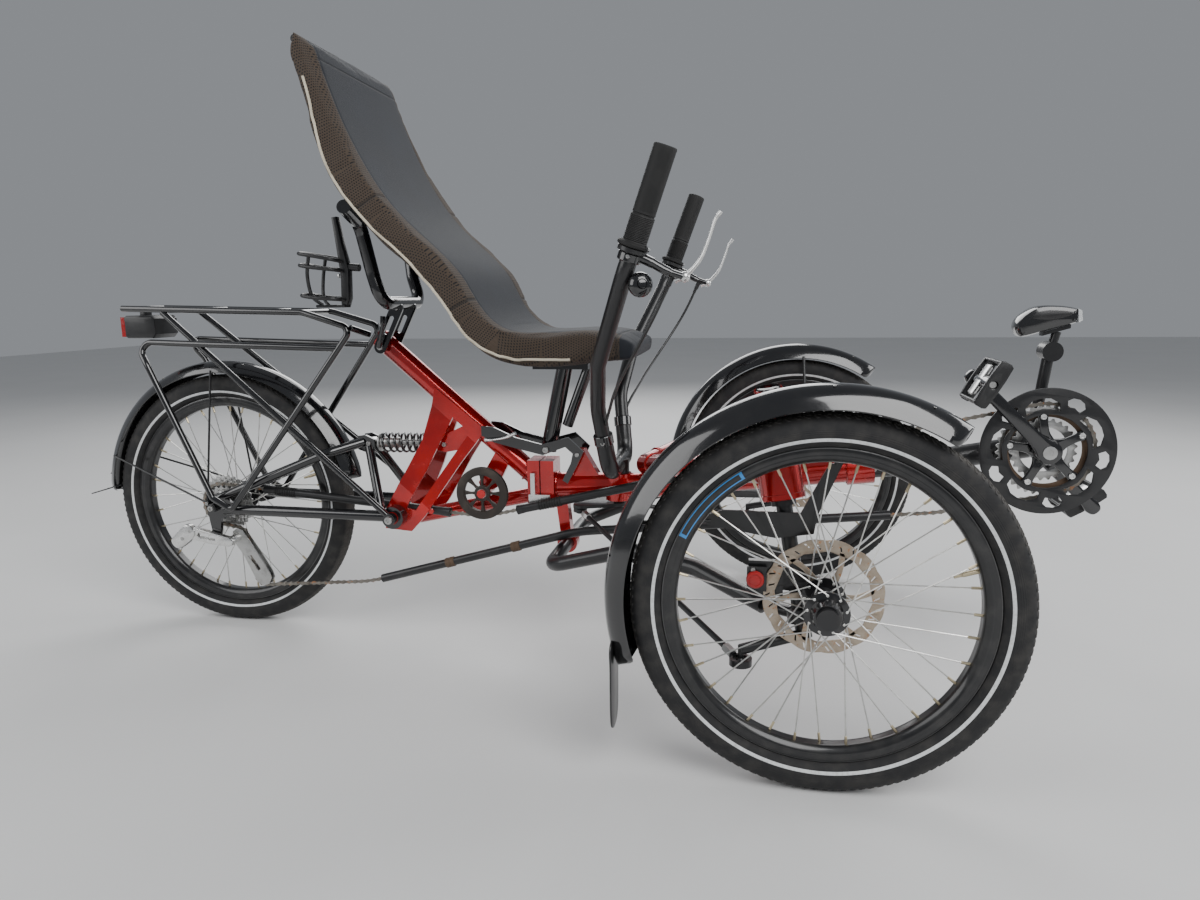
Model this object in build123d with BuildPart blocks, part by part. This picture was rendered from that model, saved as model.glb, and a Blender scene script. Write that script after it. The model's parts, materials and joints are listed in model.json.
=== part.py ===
"""Recumbent trike: two steered wheels in front, one driven wheel behind, a mesh seat and a rear rack.

Millimetres, +X forward, +Y to the rider's left, +Z up. Places are given from the point of the ground
under the rear axle, and at() moves them to the model's frame, whose origin is under the middle.
"""

import os
from math import asin, atan2, cos, hypot, pi, radians, sin

from build123d import *

# Driving sizes: the wheels and where they stand
wheelbase = 1126.0
track = 867.0
tyre_r = 253.0
tyre_w = 50.0
tyre_steps = 80  # flat steps round each tyre
bead_r = 202.3
rear_x = -664.6  # the rear axle from the model's origin

# Rims, spokes and hubs
rim_out_r = 210.0
rim_in_r = 190.0
rim_w = 30.0
spoke_count = 36
spoke_w = 2.0
flange_r = 29.0
rear_axle_r = 5.0
stub_r = 10.0
running_fit = 0.05
seat_gap = 0.3  # between pieces that touch on the real vehicle

# Frame
tube_r = 19.0
front_tube_r = 23.0
outrigger_r = 19.0
housing_r = 30.0
housing_below = 38.0
housing_above = 42.0
dropout_y = 70.0

# Drive
chain_y = -45.0
chain_h = 8.0
chain_w = 6.0
chain_tube_r = 8.0
chain_bore_r = 6.2
drive_sprocket_r = 41.0
chainring_r = 76.0
guard_r = 103.0
idler_groove_r = 44.0
idler_rim_r = 49.0
idler_half = 5.0
pulley_r = 18.0
crank_length = 170.0
crank_angle = 135.5  # of the right crank, from straight ahead, upwards

# Places, forward of the rear axle and above the ground
bottom_bracket = (1496.0, 395.0)
idler_place = (538.0, 292.0)
guide_pulley = (30.0, 188.0)
tension_pulley = (78.0, 108.0)
swing_pivot = (374.0, 248.0)
stabiliser_middle = (690.0, 193.0)
stabiliser_r = 12.5
shock_rear = (304.0, 376.0)
shock_front = (456.0, 377.0)
hinge_x = 644.0
steering_x = 787.0

# Steering: the right side, the left is its mirror image
kingpin_top = (wheelbase - 60.0, 88.5 - track / 2, 410.0)
kingpin_foot = (wheelbase + 12.0, 18.5 - track / 2, 0.0)
pitman_ball = (720.0, -30.0, 263.0)
knuckle_ball = (wheelbase - 106.0, 33.5 - track / 2, 155.0)
rod_lean = (0.04766, -0.00527)  # forward and left of the rod's pin for each mm that it rises
kingpin_r = 11.0
column_r = 10.0
ball_r = 7.0
rod_r = 4.5
rod_eye_r = 12.5
rod_drift = 3.6  # play of the outer eye, which isn't tied to its ball

SIDES = {"right": 1, "left": -1}  # +1 keeps the side that is given, -1 mirrors it


def at(x, y, z):
    """A place forward of the rear axle, left of the middle, above the ground."""
    return Vector(rear_x + x, y, z)


def by_wheel(x, y, z):
    """A place forward of the right front axle, inboard of its wheel's middle plane, above the ground."""
    return at(wheelbase + x, y - track / 2, z)


def side_plane(y):
    """The upright lengthwise plane this far to the left, drawn as seen from the right."""
    return Plane(origin=(rear_x, y, 0), x_dir=(1, 0, 0), z_dir=(0, -1, 0))


def bar(start, end, radius, mode=Mode.ADD):
    """A round bar from one place to another, in the part that is open."""
    with BuildSketch(Plane(start, z_dir=end - start)) as section:
        Circle(radius)
    extrude(section.sketch, amount=(end - start).length, mode=mode)


def cross_bar(x, z, y_from, y_to, radius, mode=Mode.ADD):
    """A round bar across the vehicle."""
    bar(at(x, y_from, z), at(x, y_to, z), radius, mode)


def bent_bar(points, radii, radius, mode=Mode.ADD):
    """A round bar through the places, its corners rounded by the radii."""
    with BuildLine() as path:
        FilletPolyline(*points, radius=radii)
    with BuildSketch(Plane(path.line @ 0, z_dir=path.line % 0)) as section:
        Circle(radius)
    sweep(section.sketch, path=path.line, mode=mode)


def slab(outline, y_right, thickness, mode=Mode.ADD):
    """A flat plate from its outline seen from the right, from y_right towards the left."""
    with BuildSketch(side_plane(y_right + thickness)) as section:
        with BuildLine():
            Polyline(*outline, close=True)
        make_face()
    extrude(section.sketch, amount=thickness, mode=mode)


def block(low, high, mode=Mode.ADD):
    """A box between two corners."""
    middle = at(*[(a + b) / 2 for a, b in zip(low, high)])
    size = [b - a for a, b in zip(low, high)]
    with Locations(middle):
        Box(*size, mode=mode)


def save(part, name):
    """Writes one piece under its node's name."""
    part.label = name
    export_step(part, f"parts/{name}.step")


def mirrored(part, side):
    """The piece itself on the right, its mirror image on the left."""
    return part if SIDES[side] > 0 else mirror(part, about=Plane.XZ)


def wheel_place(name):
    """The middle of a wheel."""
    if name == "rear":
        return at(0, 0, tyre_r)
    return at(wheelbase, -SIDES[name] * track / 2, tyre_r)


def ring_section(outline):
    """A closed outline of (along the axle, from the axle) turned about the axle."""
    with BuildSketch(Plane.YZ) as section:
        with BuildLine():
            Polyline(*outline, close=True)
        make_face()
    revolve(section.sketch, axis=Axis.Y)


def stepped_ring(outline, steps):
    """A closed outline of (along the axle, from the axle) carried round the axle in flat steps."""
    turns = [2 * pi * step / steps for step in range(steps)]
    sections = [[Vector(v * cos(turn), u, v * sin(turn)) for u, v in outline] for turn in turns]
    faces = []
    for near, far in zip(sections, sections[1:] + sections[:1]):
        for n in range(len(outline)):
            corners = (near[n - 1], near[n], far[n], far[n - 1])
            faces.append(Face(Wire.make_polygon(corners, close=True)))
    return Solid(Shell(faces))


def tyre_part():
    """A tyre about the origin: bead, side wall, shoulder and tread."""
    half = tyre_w / 2
    # (along the axle, from the axle)
    right = [(10.9, bead_r), (11.2, 210.5), (half, 229.0), (19.0, 246.0), (7.0, tyre_r)]
    outline = [(-u, v) for u, v in right] + [(u, v) for u, v in reversed(right)]
    return stepped_ring(outline, tyre_steps)


def rim_part():
    """A box-section rim about the origin, its hooked walls beside the tyre's beads."""
    half = rim_w / 2
    outline = [
        (-half, rim_out_r),
        (-half, 197.0),
        (-8.0, rim_in_r),
        (8.0, rim_in_r),
        (half, 197.0),
        (half, rim_out_r),
        (11.8, rim_out_r),
        (11.2, 202.0),
        (-11.2, 202.0),
        (-11.8, rim_out_r),
    ]
    with BuildPart() as rim:
        ring_section(outline)
    return rim.part


def spokes_part(flange_near, flange_far):
    """Crossed square spokes about the origin, from the two flanges to the rim."""
    start_r = flange_r + 0.9
    end_r = rim_in_r - 0.6
    crossing = radians(50)
    with BuildPart() as spokes:
        for number in range(spoke_count):
            flange_y = flange_near if number % 2 else flange_far
            lean = crossing if number % 4 < 2 else -crossing
            foot_y = flange_y + (1.8 if lean > 0 else -1.8)
            turn = 2 * pi * number / spoke_count
            foot = Vector(start_r * sin(turn - lean), foot_y, start_r * cos(turn - lean))
            head = Vector(end_r * sin(turn), flange_y * 0.12, end_r * cos(turn))
            with BuildSketch(Plane(foot, x_dir=(0, 1, 0), z_dir=head - foot)) as section:
                Rectangle(spoke_w, spoke_w)
            extrude(section.sketch, amount=(head - foot).length)
    return spokes.part


def touches(wheels):
    """Where a belt leaves each wheel and meets the next one. The wheels are (x, z, radius, turn), turn
    being +1 for one that it rounds anticlockwise as seen from the right and -1 for clockwise."""
    places = []
    for number, (x1, z1, r1, turn1) in enumerate(wheels):
        x2, z2, r2, turn2 = wheels[(number + 1) % len(wheels)]
        reach = hypot(x2 - x1, z2 - z1)
        heading = atan2(z2 - z1, x2 - x1) + asin((turn1 * r1 - turn2 * r2) / reach)
        right_x, right_z = sin(heading), -cos(heading)
        leave = (x1 + turn1 * r1 * right_x, z1 + turn1 * r1 * right_z)
        meet = (x2 + turn2 * r2 * right_x, z2 + turn2 * r2 * right_z)
        places.append((leave, meet))
    return places


def belt_face(wheels):
    """The area inside a belt round the wheels."""
    places = touches(wheels)
    with BuildSketch() as face:
        with BuildLine():
            for number, (leave, meet) in enumerate(places):
                following = (number + 1) % len(places)
                x, z, r, turn = wheels[following]
                onward = places[following][0]
                start = atan2(meet[1] - z, meet[0] - x)
                end = atan2(onward[1] - z, onward[0] - x)
                middle = start + (end - start) * turn % (2 * pi) * turn / 2
                Line(leave, meet)
                ThreePointArc(meet, (x + r * cos(middle), z + r * sin(middle)), onward)
        make_face()
    return face.sketch


def link(start, end, r_start, r_end, y_right, thickness, mode=Mode.ADD):
    """A flat link with round ends, seen from the right as (x, z), from y_right towards the left."""
    with BuildSketch(side_plane(y_right + thickness)) as section:
        for place, radius in ((start, r_start), (end, r_end)):
            with Locations(place):
                Circle(radius)
        make_hull()
    extrude(section.sketch, amount=thickness, mode=mode)


def shifted(line, distance):
    """An open line of (x, z) moved sideways, to the left of its direction."""
    moved = []
    for number, (x, z) in enumerate(line):
        x0, z0 = line[max(number - 1, 0)]
        x1, z1 = line[min(number + 1, len(line) - 1)]
        reach = hypot(x1 - x0, z1 - z0)
        moved.append((x - distance * (z1 - z0) / reach, z + distance * (x1 - x0) / reach))
    return moved


def band(lower, upper, y_right, y_left, mode=Mode.ADD):
    """The area between two smooth lines of (x, z), from y_right to y_left."""
    with BuildSketch(side_plane(y_left)) as section:
        with BuildLine():
            Spline(*lower)
            Line(lower[-1], upper[-1])
            Spline(*upper)
            Line(upper[0], lower[0])
        make_face()
    extrude(section.sketch, amount=y_left - y_right, mode=mode)


def guard_part(section, start_deg, end_deg):
    """A mudguard about the origin: its section (from the middle plane, from the axle) swept round the
    axle between two angles, measured from straight ahead, upwards."""
    last = radians(end_deg)
    start = Plane((0, 0, 0), x_dir=(0, 1, 0), z_dir=(sin(last), 0, -cos(last)))
    with BuildPart() as guard:
        with BuildSketch(start) as outline:
            with BuildLine():
                Polyline(*section, close=True)
            make_face()
        revolve(outline.sketch, axis=Axis.Y, revolution_arc=end_deg - start_deg)
    return guard.part


def guard_section(half, edge_r, crown_r, thickness):
    """A mudguard's bowed strip, as (from the middle plane, from the axle)."""
    outer = [(half, edge_r), (half - 1, edge_r + 14), (half * 0.62, crown_r - 5), (half * 0.2, crown_r)]
    inner = [
        (half - thickness, edge_r),
        (half - thickness - 1, edge_r + 13),
        (half * 0.58, crown_r - 5 - thickness),
        (half * 0.2, crown_r - thickness),
    ]
    outer_left = [(-u, v) for u, v in outer]
    inner_left = [(-u, v) for u, v in reversed(inner)]
    return outer_left + outer[::-1] + inner + inner_left


os.makedirs("parts", exist_ok=True)

# Wheels
rear_flanges = (-20.0, 32.0)
front_flanges = (-27.0, 27.0)
wheel_centres = {name: wheel_place(name) for name in ("rear", "right", "left")}
tyre_about_origin = tyre_part()
rim_about_origin = rim_part()
front_spokes_about_origin = spokes_part(*front_flanges)
rear_spokes_about_origin = spokes_part(*rear_flanges)
for wheel_name, centre in wheel_centres.items():
    there = Location(centre)
    save(there * tyre_about_origin, f"{wheel_name}_tyre")
    save(there * rim_about_origin, f"{wheel_name}_rim")
    spokes = rear_spokes_about_origin if wheel_name == "rear" else front_spokes_about_origin
    save(there * spokes, f"{wheel_name}_spokes")

# Front hubs: the brake disc inboard, the flanges and the outer cap
rotor_y = 33.0  # inboard of the wheel's middle plane
rotor_t = 2.0
rotor_r = 80.0
hub_in = 36.0
hub_out = -44.0
with BuildPart() as front_hub:
    # (along the axle, towards the left, from the axle)
    ring_section(
        [
            (hub_out, stub_r + running_fit),
            (hub_out, 17.0),
            (-31.0, 21.0),
            (-29.0, flange_r),
            (-25.0, flange_r),
            (-24.0, 17.0),
            (24.0, 17.0),
            (25.0, flange_r),
            (28.0, flange_r),
            (rotor_y - seat_gap, 25.0),
            (rotor_y - seat_gap, 20.0),
            (hub_in, 20.0),
            (hub_in, stub_r + running_fit),
        ]
    )
with BuildPart() as rotor:
    with BuildSketch(Plane.XZ.offset(-rotor_y - rotor_t)):
        Circle(rotor_r)
        Circle(64.0, mode=Mode.SUBTRACT)
        with PolarLocations(46.0, 6):
            Rectangle(50.0, 9.0, rotation=18)
        Circle(26.0)
        Circle(20.2, mode=Mode.SUBTRACT)
    extrude(amount=rotor_t)
for side in SIDES:
    there = Location(wheel_centres[side])
    save(there * mirrored(front_hub.part, side), f"{side}_hub")
    save(there * mirrored(rotor.part, side), f"{side}_rotor")

# Rear hub and cassette
sprocket_t = 1.8
sprockets = [
    # (outer radius, from the wheel's middle plane)
    (56.0, -29.0),
    (51.0, -33.0),
    (47.0, -37.0),
    (43.0, -40.4),
    (drive_sprocket_r - chain_h / 2 - 0.5, chain_y),
    (31.0, -49.6),
    (26.0, -53.4),
]
with BuildPart() as rear_hub:
    ring_section(
        [
            (-66.0, rear_axle_r + running_fit),
            (-66.0, 9.0),
            (-58.0, 9.0),
            (-58.0, 15.0),
            (-24.0, 15.0),
            (-22.0, flange_r),
            (-18.0, flange_r),
            (-17.0, 14.0),
            (29.0, 14.0),
            (30.0, flange_r),
            (34.0, flange_r),
            (36.0, 16.0),
            (66.0, 9.0),
            (66.0, rear_axle_r + running_fit),
        ]
    )
with BuildPart() as cassette:
    for radius, y in sprockets:
        with BuildSketch(Plane.XZ.offset(-y - sprocket_t / 2)) as disc:
            Circle(radius)
            Circle(15.3, mode=Mode.SUBTRACT)
        extrude(disc.sketch, amount=sprocket_t)
    with BuildSketch(Plane.XZ.offset(27.5)) as core:
        Circle(21.0)
        Circle(15.3, mode=Mode.SUBTRACT)
    extrude(core.sketch, amount=28.0)
save(Location(wheel_centres["rear"]) * rear_hub.part, "rear_hub")
save(Location(wheel_centres["rear"]) * cassette.part, "rear_cassette")

# The chain's line round its wheels
belt_wheels = [
    # (x, z, radius, turn)
    (0.0, tyre_r, drive_sprocket_r, -1),
    (*idler_place, idler_groove_r, 1),
    (*bottom_bracket, chainring_r, -1),
    (1290.0, 581.0, 300.0, -1),
    (775.0, -70.0, 300.0, 1),
    (250.0, 405.0, 300.0, -1),
    (*tension_pulley, pulley_r, -1),
    (*guide_pulley, pulley_r, 1),
]
straights = touches(belt_wheels)


def on_straight(run, x):
    """The place at this x on one of the chain's straight runs, as (x, z)."""
    (x1, z1), (x2, z2) = straights[run]
    return (x, z1 + (z2 - z1) * (x - x1) / (x2 - x1))


# Rear frame: the sloping tube, the splayed pierced plates, the lower tubes and the hinge's rear half
main_top = at(333, 0, 576)
main_foot = at(628, 0, 318)
slope = (main_foot - main_top).normalized()
plate_outline = [
    (444, 486),
    (437, 450),
    (422, 389),
    (391, 327),
    (352, 258),
    (350, 222),
    (402, 218),
    (430, 248),
    (495, 347),
    (540, 408),
    (520, 424),
]
plate_window = [(477, 430), (509, 402), (464, 335), (412, 258), (393, 262), (430, 330), (455, 385)]
hinge_low = 264.0
hinge_high = 352.0
hinge_half_width = 27.0
hinge_rear_x = 620.0
hinge_front_x = 670.0
with BuildPart() as rear_frame:
    # The two plates are flat against the tube, lean outwards and are upright again at the pivot
    across = Plane(main_top, x_dir=(0, 1, 0), z_dir=slope)
    for hand in (-1, 1):
        with BuildSketch(across) as sheet:
            with BuildLine():
                Polyline(
                    (hand * 16, 12),
                    (hand * 16, -24),
                    (hand * 56, -168),
                    (hand * 56, -300),
                    (hand * 62, -300),
                    (hand * 62, -167),
                    (hand * 22, -23),
                    (hand * 22, 12),
                    close=True,
                )
            make_face()
        extrude(sheet.sketch, amount=420)
    with BuildSketch(side_plane(80)) as shape:
        with BuildLine():
            Polyline(*plate_outline, close=True)
        make_face()
        with BuildLine():
            Polyline(*plate_window, close=True)
        make_face(mode=Mode.SUBTRACT)
    extrude(shape.sketch, amount=160, mode=Mode.INTERSECT)
    bar(main_top, main_foot, tube_r)
    # Pivot boss across the plates, tube to the hinge, shock tab, idler lug
    cross_bar(*swing_pivot, -85.5, -56, 12)
    cross_bar(*swing_pivot, 56, 85.5, 12)
    cross_bar(*swing_pivot, -57, 57, 5)
    bar(at(swing_pivot[0] + 20, 0, 232), at(hinge_rear_x + 2, 0, 282), 14)
    cross_bar(swing_pivot[0] + 20, 232, -58, 58, 9)
    for y_right in (-15, 9):
        slab([(442, 366), (442, 388), (505, 418), (540, 402), (500, 370), (458, 362)], y_right, 6)
    cross_bar(*idler_place, -39, 8, 9)
    cross_bar(*idler_place, chain_y - 8, -38, 5)
    cross_bar(*idler_place, chain_y - 9, chain_y - idler_half - seat_gap, 8)
    slab([(528, 282), (520, 305), (560, 372), (585, 352), (556, 296)], -12, 12)
    block((hinge_rear_x, -hinge_half_width, hinge_low), (hinge_x - 1, hinge_half_width, hinge_high))
    # Stud in the right plate that carries the rear chain tube
    cross_bar(*on_straight(0, 440), -57, chain_y - chain_tube_r - seat_gap, 5)
save(rear_frame.part, "rear_frame")

# Front frame: centre tube, outriggers, kingpin housings and boom clamp
tube_foot = at(hinge_front_x - 4, 0, 303)
tube_bend = at(838, 0, 306)
boom_clamp = at(1236, 0, 351)
boom_dir = (boom_clamp - tube_bend).normalized()
kingpin_axis = (at(*kingpin_foot) - at(*kingpin_top)).normalized()
outrigger_root = (838.0, 0.0, 346.0)
boom_r = 19.0
with BuildPart() as front_frame:
    bar(tube_foot, tube_bend, front_tube_r)
    with Locations(tube_bend):
        Sphere(front_tube_r)
    bar(tube_bend, boom_clamp, front_tube_r)
    bar(boom_clamp - boom_dir * 44, boom_clamp, front_tube_r + 5)
    block((hinge_x + 1, -hinge_half_width, hinge_low), (hinge_front_x, hinge_half_width, hinge_high))
    for hand in (1, -1):
        top = at(kingpin_top[0], hand * kingpin_top[1], kingpin_top[2])
        foot = at(kingpin_foot[0], hand * kingpin_foot[1], kingpin_foot[2])
        down = (foot - top).normalized()
        bar(at(*outrigger_root), top, outrigger_r)
        bar(top - down * housing_above, top + down * housing_below, housing_r)
    # Root of the two outriggers, a thicker sleeve round the steering column
    with Locations(at(steering_x, 0, 304)):
        Cylinder(24, 50)
    bar(boom_clamp - boom_dir * 200, boom_clamp + boom_dir * 1, boom_r + seat_gap, Mode.SUBTRACT)
    with Locations(at(steering_x, 0, 304)):
        Cylinder(column_r + running_fit, 120, mode=Mode.SUBTRACT)
    # Bracket down to the anti-roll bar, behind the steering's plate, and studs for the chain tubes
    bar_x, bar_z = stabiliser_middle
    slab([(668, 290), (690, 290), (bar_x + 10, bar_z), (bar_x - 10, bar_z)], -12, 24)
    cross_bar(*stabiliser_middle, -12, 12, 19)
    cross_bar(*stabiliser_middle, -20, 20, stabiliser_r + seat_gap, Mode.SUBTRACT)
    cross_bar(*on_straight(4, 692), chain_y + chain_tube_r + seat_gap, -10, 5)
    cross_bar(*on_straight(1, 820), chain_y + chain_tube_r + seat_gap, -10, 5)
    # Fin that the seat's latch hooks on
    slab([(704, 322), (710, 372), (724, 372), (752, 324)], -13, 26)
    for hand in (1, -1):
        top = at(kingpin_top[0], hand * kingpin_top[1], kingpin_top[2])
        foot = at(kingpin_foot[0], hand * kingpin_foot[1], kingpin_foot[2])
        down = (foot - top).normalized()
        bar(top - down * 20, top + down * (housing_below + 1), kingpin_r + running_fit, Mode.SUBTRACT)
save(front_frame.part, "front_frame")

# Frame hinge: side pin with its knuckles, latch lever and bolts
with BuildPart() as frame_hinge:
    for z_from, z_to in ((hinge_low + 2, 290), (326, hinge_high - 2)):
        bar(at(hinge_x, hinge_half_width + 8, z_from), at(hinge_x, hinge_half_width + 8, z_to), 7.5)
    bar(at(hinge_x, hinge_half_width + 8, 290), at(hinge_x, hinge_half_width + 8, 326), 7.5)
    block((hinge_x - 20, -hinge_half_width - 9, 272), (hinge_x + 20, -hinge_half_width - seat_gap, 290))
    block((hinge_x - 16, -hinge_half_width - 9, 290), (hinge_x - 8, -hinge_half_width - seat_gap, 330))
save(frame_hinge.part, "frame_hinge")

# Boom with the bottom bracket shell
bb_x, bb_z = bottom_bracket
shell_half = 34.0
shell_r = 21.0
boom_in = boom_clamp - boom_dir * 190
with BuildPart() as boom:
    bar(boom_in, boom_clamp + boom_dir * 60, boom_r)
    bar(boom_clamp + boom_dir * 60, at(bb_x, 0, bb_z), boom_r)
    with Locations(boom_clamp + boom_dir * 60):
        Sphere(boom_r)
    cross_bar(bb_x, bb_z, -shell_half, shell_half, shell_r)
    cross_bar(bb_x, bb_z, -shell_half, shell_half, 12 + running_fit, Mode.SUBTRACT)
save(boom.part, "boom")

# Swing arm: dropouts, lower stays, raised stays to the yoke and the struts down to the pivot
stay_r = 10.5
upper_stay_r = 9.0
with BuildPart() as swing_arm:
    for hand in (-1, 1):
        y = hand * dropout_y
        slab([(-16, 236), (-12, 268), (12, 284), (40, 262), (40, 238), (10, 230)], y - 3.5, 7)
        bar(at(24, y * 1.04, 250), at(swing_pivot[0] - 8, hand * 74, 248.5), stay_r)
        bent_bar(
            [at(8, y, 270), at(236, hand * 57, 362), at(292, hand * 15, 378)],
            [40],
            upper_stay_r,
        )
        bar(at(304, hand * 16, 368), at(swing_pivot[0] - 26, hand * 74, 262), 8.5)
        cross_bar(*swing_pivot, hand * 62.3, hand * 84, 21)
        slab([(282, 364), (282, 390), (298, 392), (316, 384), (316, 366), (300, 358)], hand * 15 - 3, 6)
    cross_bar(284, 376, -16, 16, 9)
    cross_bar(0, tyre_r, -dropout_y - 9, dropout_y + 9, rear_axle_r)
    for hand in (-1, 1):
        cross_bar(0, tyre_r, hand * (dropout_y + 3), hand * (dropout_y + 13), 9)
    cross_bar(*swing_pivot, -90, 90, 12 + seat_gap, Mode.SUBTRACT)
    # Hanger of the derailleur
    slab([(-14, 236), (-8, 198), (8, 198), (14, 236)], -dropout_y - 3.5, 7)
save(swing_arm.part, "swing_arm")

# Shock: rear eye, damper body, spring ridges and front eye
shock_line = at(shock_front[0], 0, shock_front[1]) - at(shock_rear[0], 0, shock_rear[1])
shock_length = shock_line.length
coil_count = 7
coil_from, coil_to = 22.0, 118.0
coil_pitch = (coil_to - coil_from) / coil_count
with BuildPart() as shock:
    with BuildSketch(Plane(at(shock_rear[0], 0, shock_rear[1]), x_dir=(0, 1, 0), z_dir=shock_line)) as rod:
        Circle(7.0)
    extrude(rod.sketch, amount=shock_length)
    with BuildSketch(Plane(at(shock_rear[0], 0, shock_rear[1]), x_dir=shock_line, z_dir=(0, -1, 0))) as half:
        with BuildLine():
            ridges = [(14.0, 0.0), (14.0, 16.0)]
            for coil in range(coil_count):
                start = coil_from + coil * coil_pitch
                ridges += [(start, 13.0), (start + coil_pitch * 0.5, 20.0)]
            ridges += [(coil_to, 13.0), (coil_to + 2, 15.0), (132.0, 12.0), (134.0, 0.0)]
            Polyline(*ridges, close=True)
        make_face()
    revolve(half.sketch, axis=Axis(at(shock_rear[0], 0, shock_rear[1]), shock_line))
    cross_bar(*shock_rear, -11.7, 11.7, 10)
    cross_bar(*shock_front, -8.7, 8.7, 10)
save(shock.part, "shock")

# Rack: two side frames of bent tube, cross bars and the struts to the pivot
rack_r = 6.0
top_y = 55.0
low_y = 72.0
foot_y = 92.0
with BuildPart() as rack:
    for hand in (-1, 1):
        ty, ly, fy = hand * top_y, hand * low_y, hand * foot_y
        # One tube: top rail, down the front strut, round the foot by the axle, up to the lower rail
        bent_bar(
            [
                at(-170, ty, 636),
                at(206, ty, 626),
                at(306, hand * 62, 596),
                at(50, fy, 254),
                at(12, fy, 276),
                at(-104, fy - hand * 6, 530),
                at(-134, ly, 573),
                at(276, hand * 65, 560),
            ],
            [60, 14, 10, 10, 40, 18],
            rack_r,
        )
        # Arm in to the clamp at the top of the frame's tube
        bar(at(304, hand * 62, 597), at(322, hand * 25.5, 584), rack_r)
        # Strut from under the top rail to the pivot's boss
        bar(at(-84, ty, 628), at(372, fy, 252), rack_r)
        cross_bar(*swing_pivot, hand * 86, hand * 98, 11)
    for x, z, half in ((-164, 636, top_y), (-20, 632, top_y), (120, 628, top_y), (200, 626, top_y)):
        cross_bar(x, z, -half, half, 5)
save(rack.part, "rack")

# Rear lamp under the rack and its lens
with BuildPart() as rear_lamp:
    block((-188, -34, 578), (-120, 34, 622))
    block((-170, -10, 621), (-158, 10, 630.7))
save(rear_lamp.part, "rear_lamp")
with BuildPart() as rear_lens:
    block((-197, -31, 581), (-188.3, 31, 619))
save(rear_lens.part, "rear_lens")

# Rear mudguard with its flap, and its stays
rear_guard_half = 30.0
rear_guard_edge = 258.0
rear_guard_section = guard_section(rear_guard_half, rear_guard_edge, 280, 3)
with BuildPart() as rear_fender:
    add(Location(wheel_centres["rear"]) * guard_part(rear_guard_section, 11, 178))
    slab([(-277, 266), (-282, 272), (-326, 257), (-323, 252)], -28, 56)
save(rear_fender.part, "rear_fender")
with BuildPart() as rear_stays:
    for hand in (-1, 1):
        cross_bar(-10, 262, hand * (dropout_y + 3.8), hand * (dropout_y + 10), 4)
        for x, z in ((-10, 516), (-246, 342)):
            bar(at(-10, hand * (dropout_y + 8), 262), at(x, hand * 32.3, z), 2)
save(rear_stays.part, "rear_fender_stays")

# Seat: cover over two side rails, its smooth centre panel thinner than its side bolsters
panel_t = 13.0
bolster_w = 40.0
seat_back = [
    (288, 1045),
    (303, 996),
    (322, 914),
    (344, 846),
    (382, 792),
    (415, 753),
    (465, 705),
    (499, 665),
    (531, 622),
    (555, 587),
    (599, 552),
    (640, 540),
    (727, 538),
    (838, 542),
]
seat_ridge = [
    (301, 1081),
    (325, 1005),
    (354, 928),
    (387, 862),
    (440, 787),
    (495, 735),
    (546, 680),
    (578, 624),
    (616, 591),
    (680, 584),
    (780, 586),
    (845, 568),
]
# Half width of the seat along its length; it narrows to let the handlebar's arms swing
seat_plan = [(270, 178), (330, 188), (520, 190), (600, 172), (680, 141), (760, 133), (850, 124)]
rail_r = 8.0
rail_inset = 12.0
rail_turns = [200, 60, 60, 60]
rail_side = [(273, 1072), (358, 846), (556, 604), (607, 562), (679, 556), (764, 555)]


def plan_half(x):
    """The seat's half width at a place along it."""
    for (x1, half1), (x2, half2) in zip(seat_plan, seat_plan[1:]):
        if x <= x2:
            return half1 + (half2 - half1) * (x - x1) / (x2 - x1)
    return seat_plan[-1][1]


def plan_prism(inset):
    """An upright block with the seat's outline from above, drawn in by the inset."""
    right = [(x, inset - half) for x, half in seat_plan]
    left = [(x, half - inset) for x, half in reversed(seat_plan)]
    with BuildSketch(Plane((rear_x, 0, 500))) as outline:
        with BuildLine():
            Spline(*right)
            Line(right[-1], left[0])
            Spline(*left)
            Line(left[-1], right[0])
        make_face()
    extrude(outline.sketch, amount=620, mode=Mode.INTERSECT)


rail_line = [(x, plan_half(x) - bolster_w - rail_inset, z) for x, z in rail_side]


def rail_path(hand):
    """The middle line of the seat's rail on one side."""
    return FilletPolyline(*[at(x, hand * y, z) for x, y, z in rail_line], radius=rail_turns)



with BuildPart() as seat_rails:
    for hand in (-1, 1):
        bent_bar([at(x, hand * y, z) for x, y, z in rail_line], rail_turns, rail_r)
    # Cross tubes: at the top, behind the small of the back and under the nose
    for x, y, z in (rail_line[0], rail_line[2], rail_line[-1]):
        cross_bar(x, z, -y - rail_r * 0.8, y + rail_r * 0.8, rail_r - 1.5)
    # Studs into the bolsters, where the cover is laced on
    for x, z in ((330, 920.5), (520, 648)):
        reach = plan_half(x) - bolster_w - 0.8
        for hand in (-1, 1):
            cross_bar(x, z, hand * (reach - 20), hand * reach, 4)
save(seat_rails.part, "seat_rails")
with BuildPart() as hollow:
    band(shifted(seat_back, -30), shifted(seat_ridge[:-1], -panel_t), -200, 200)
    plan_prism(bolster_w)
with BuildPart() as seat_cover:
    band(seat_back, seat_ridge, -200, 200)
    plan_prism(0)
    add(hollow.part, mode=Mode.SUBTRACT)
save(seat_cover.part, "seat_cover")

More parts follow.
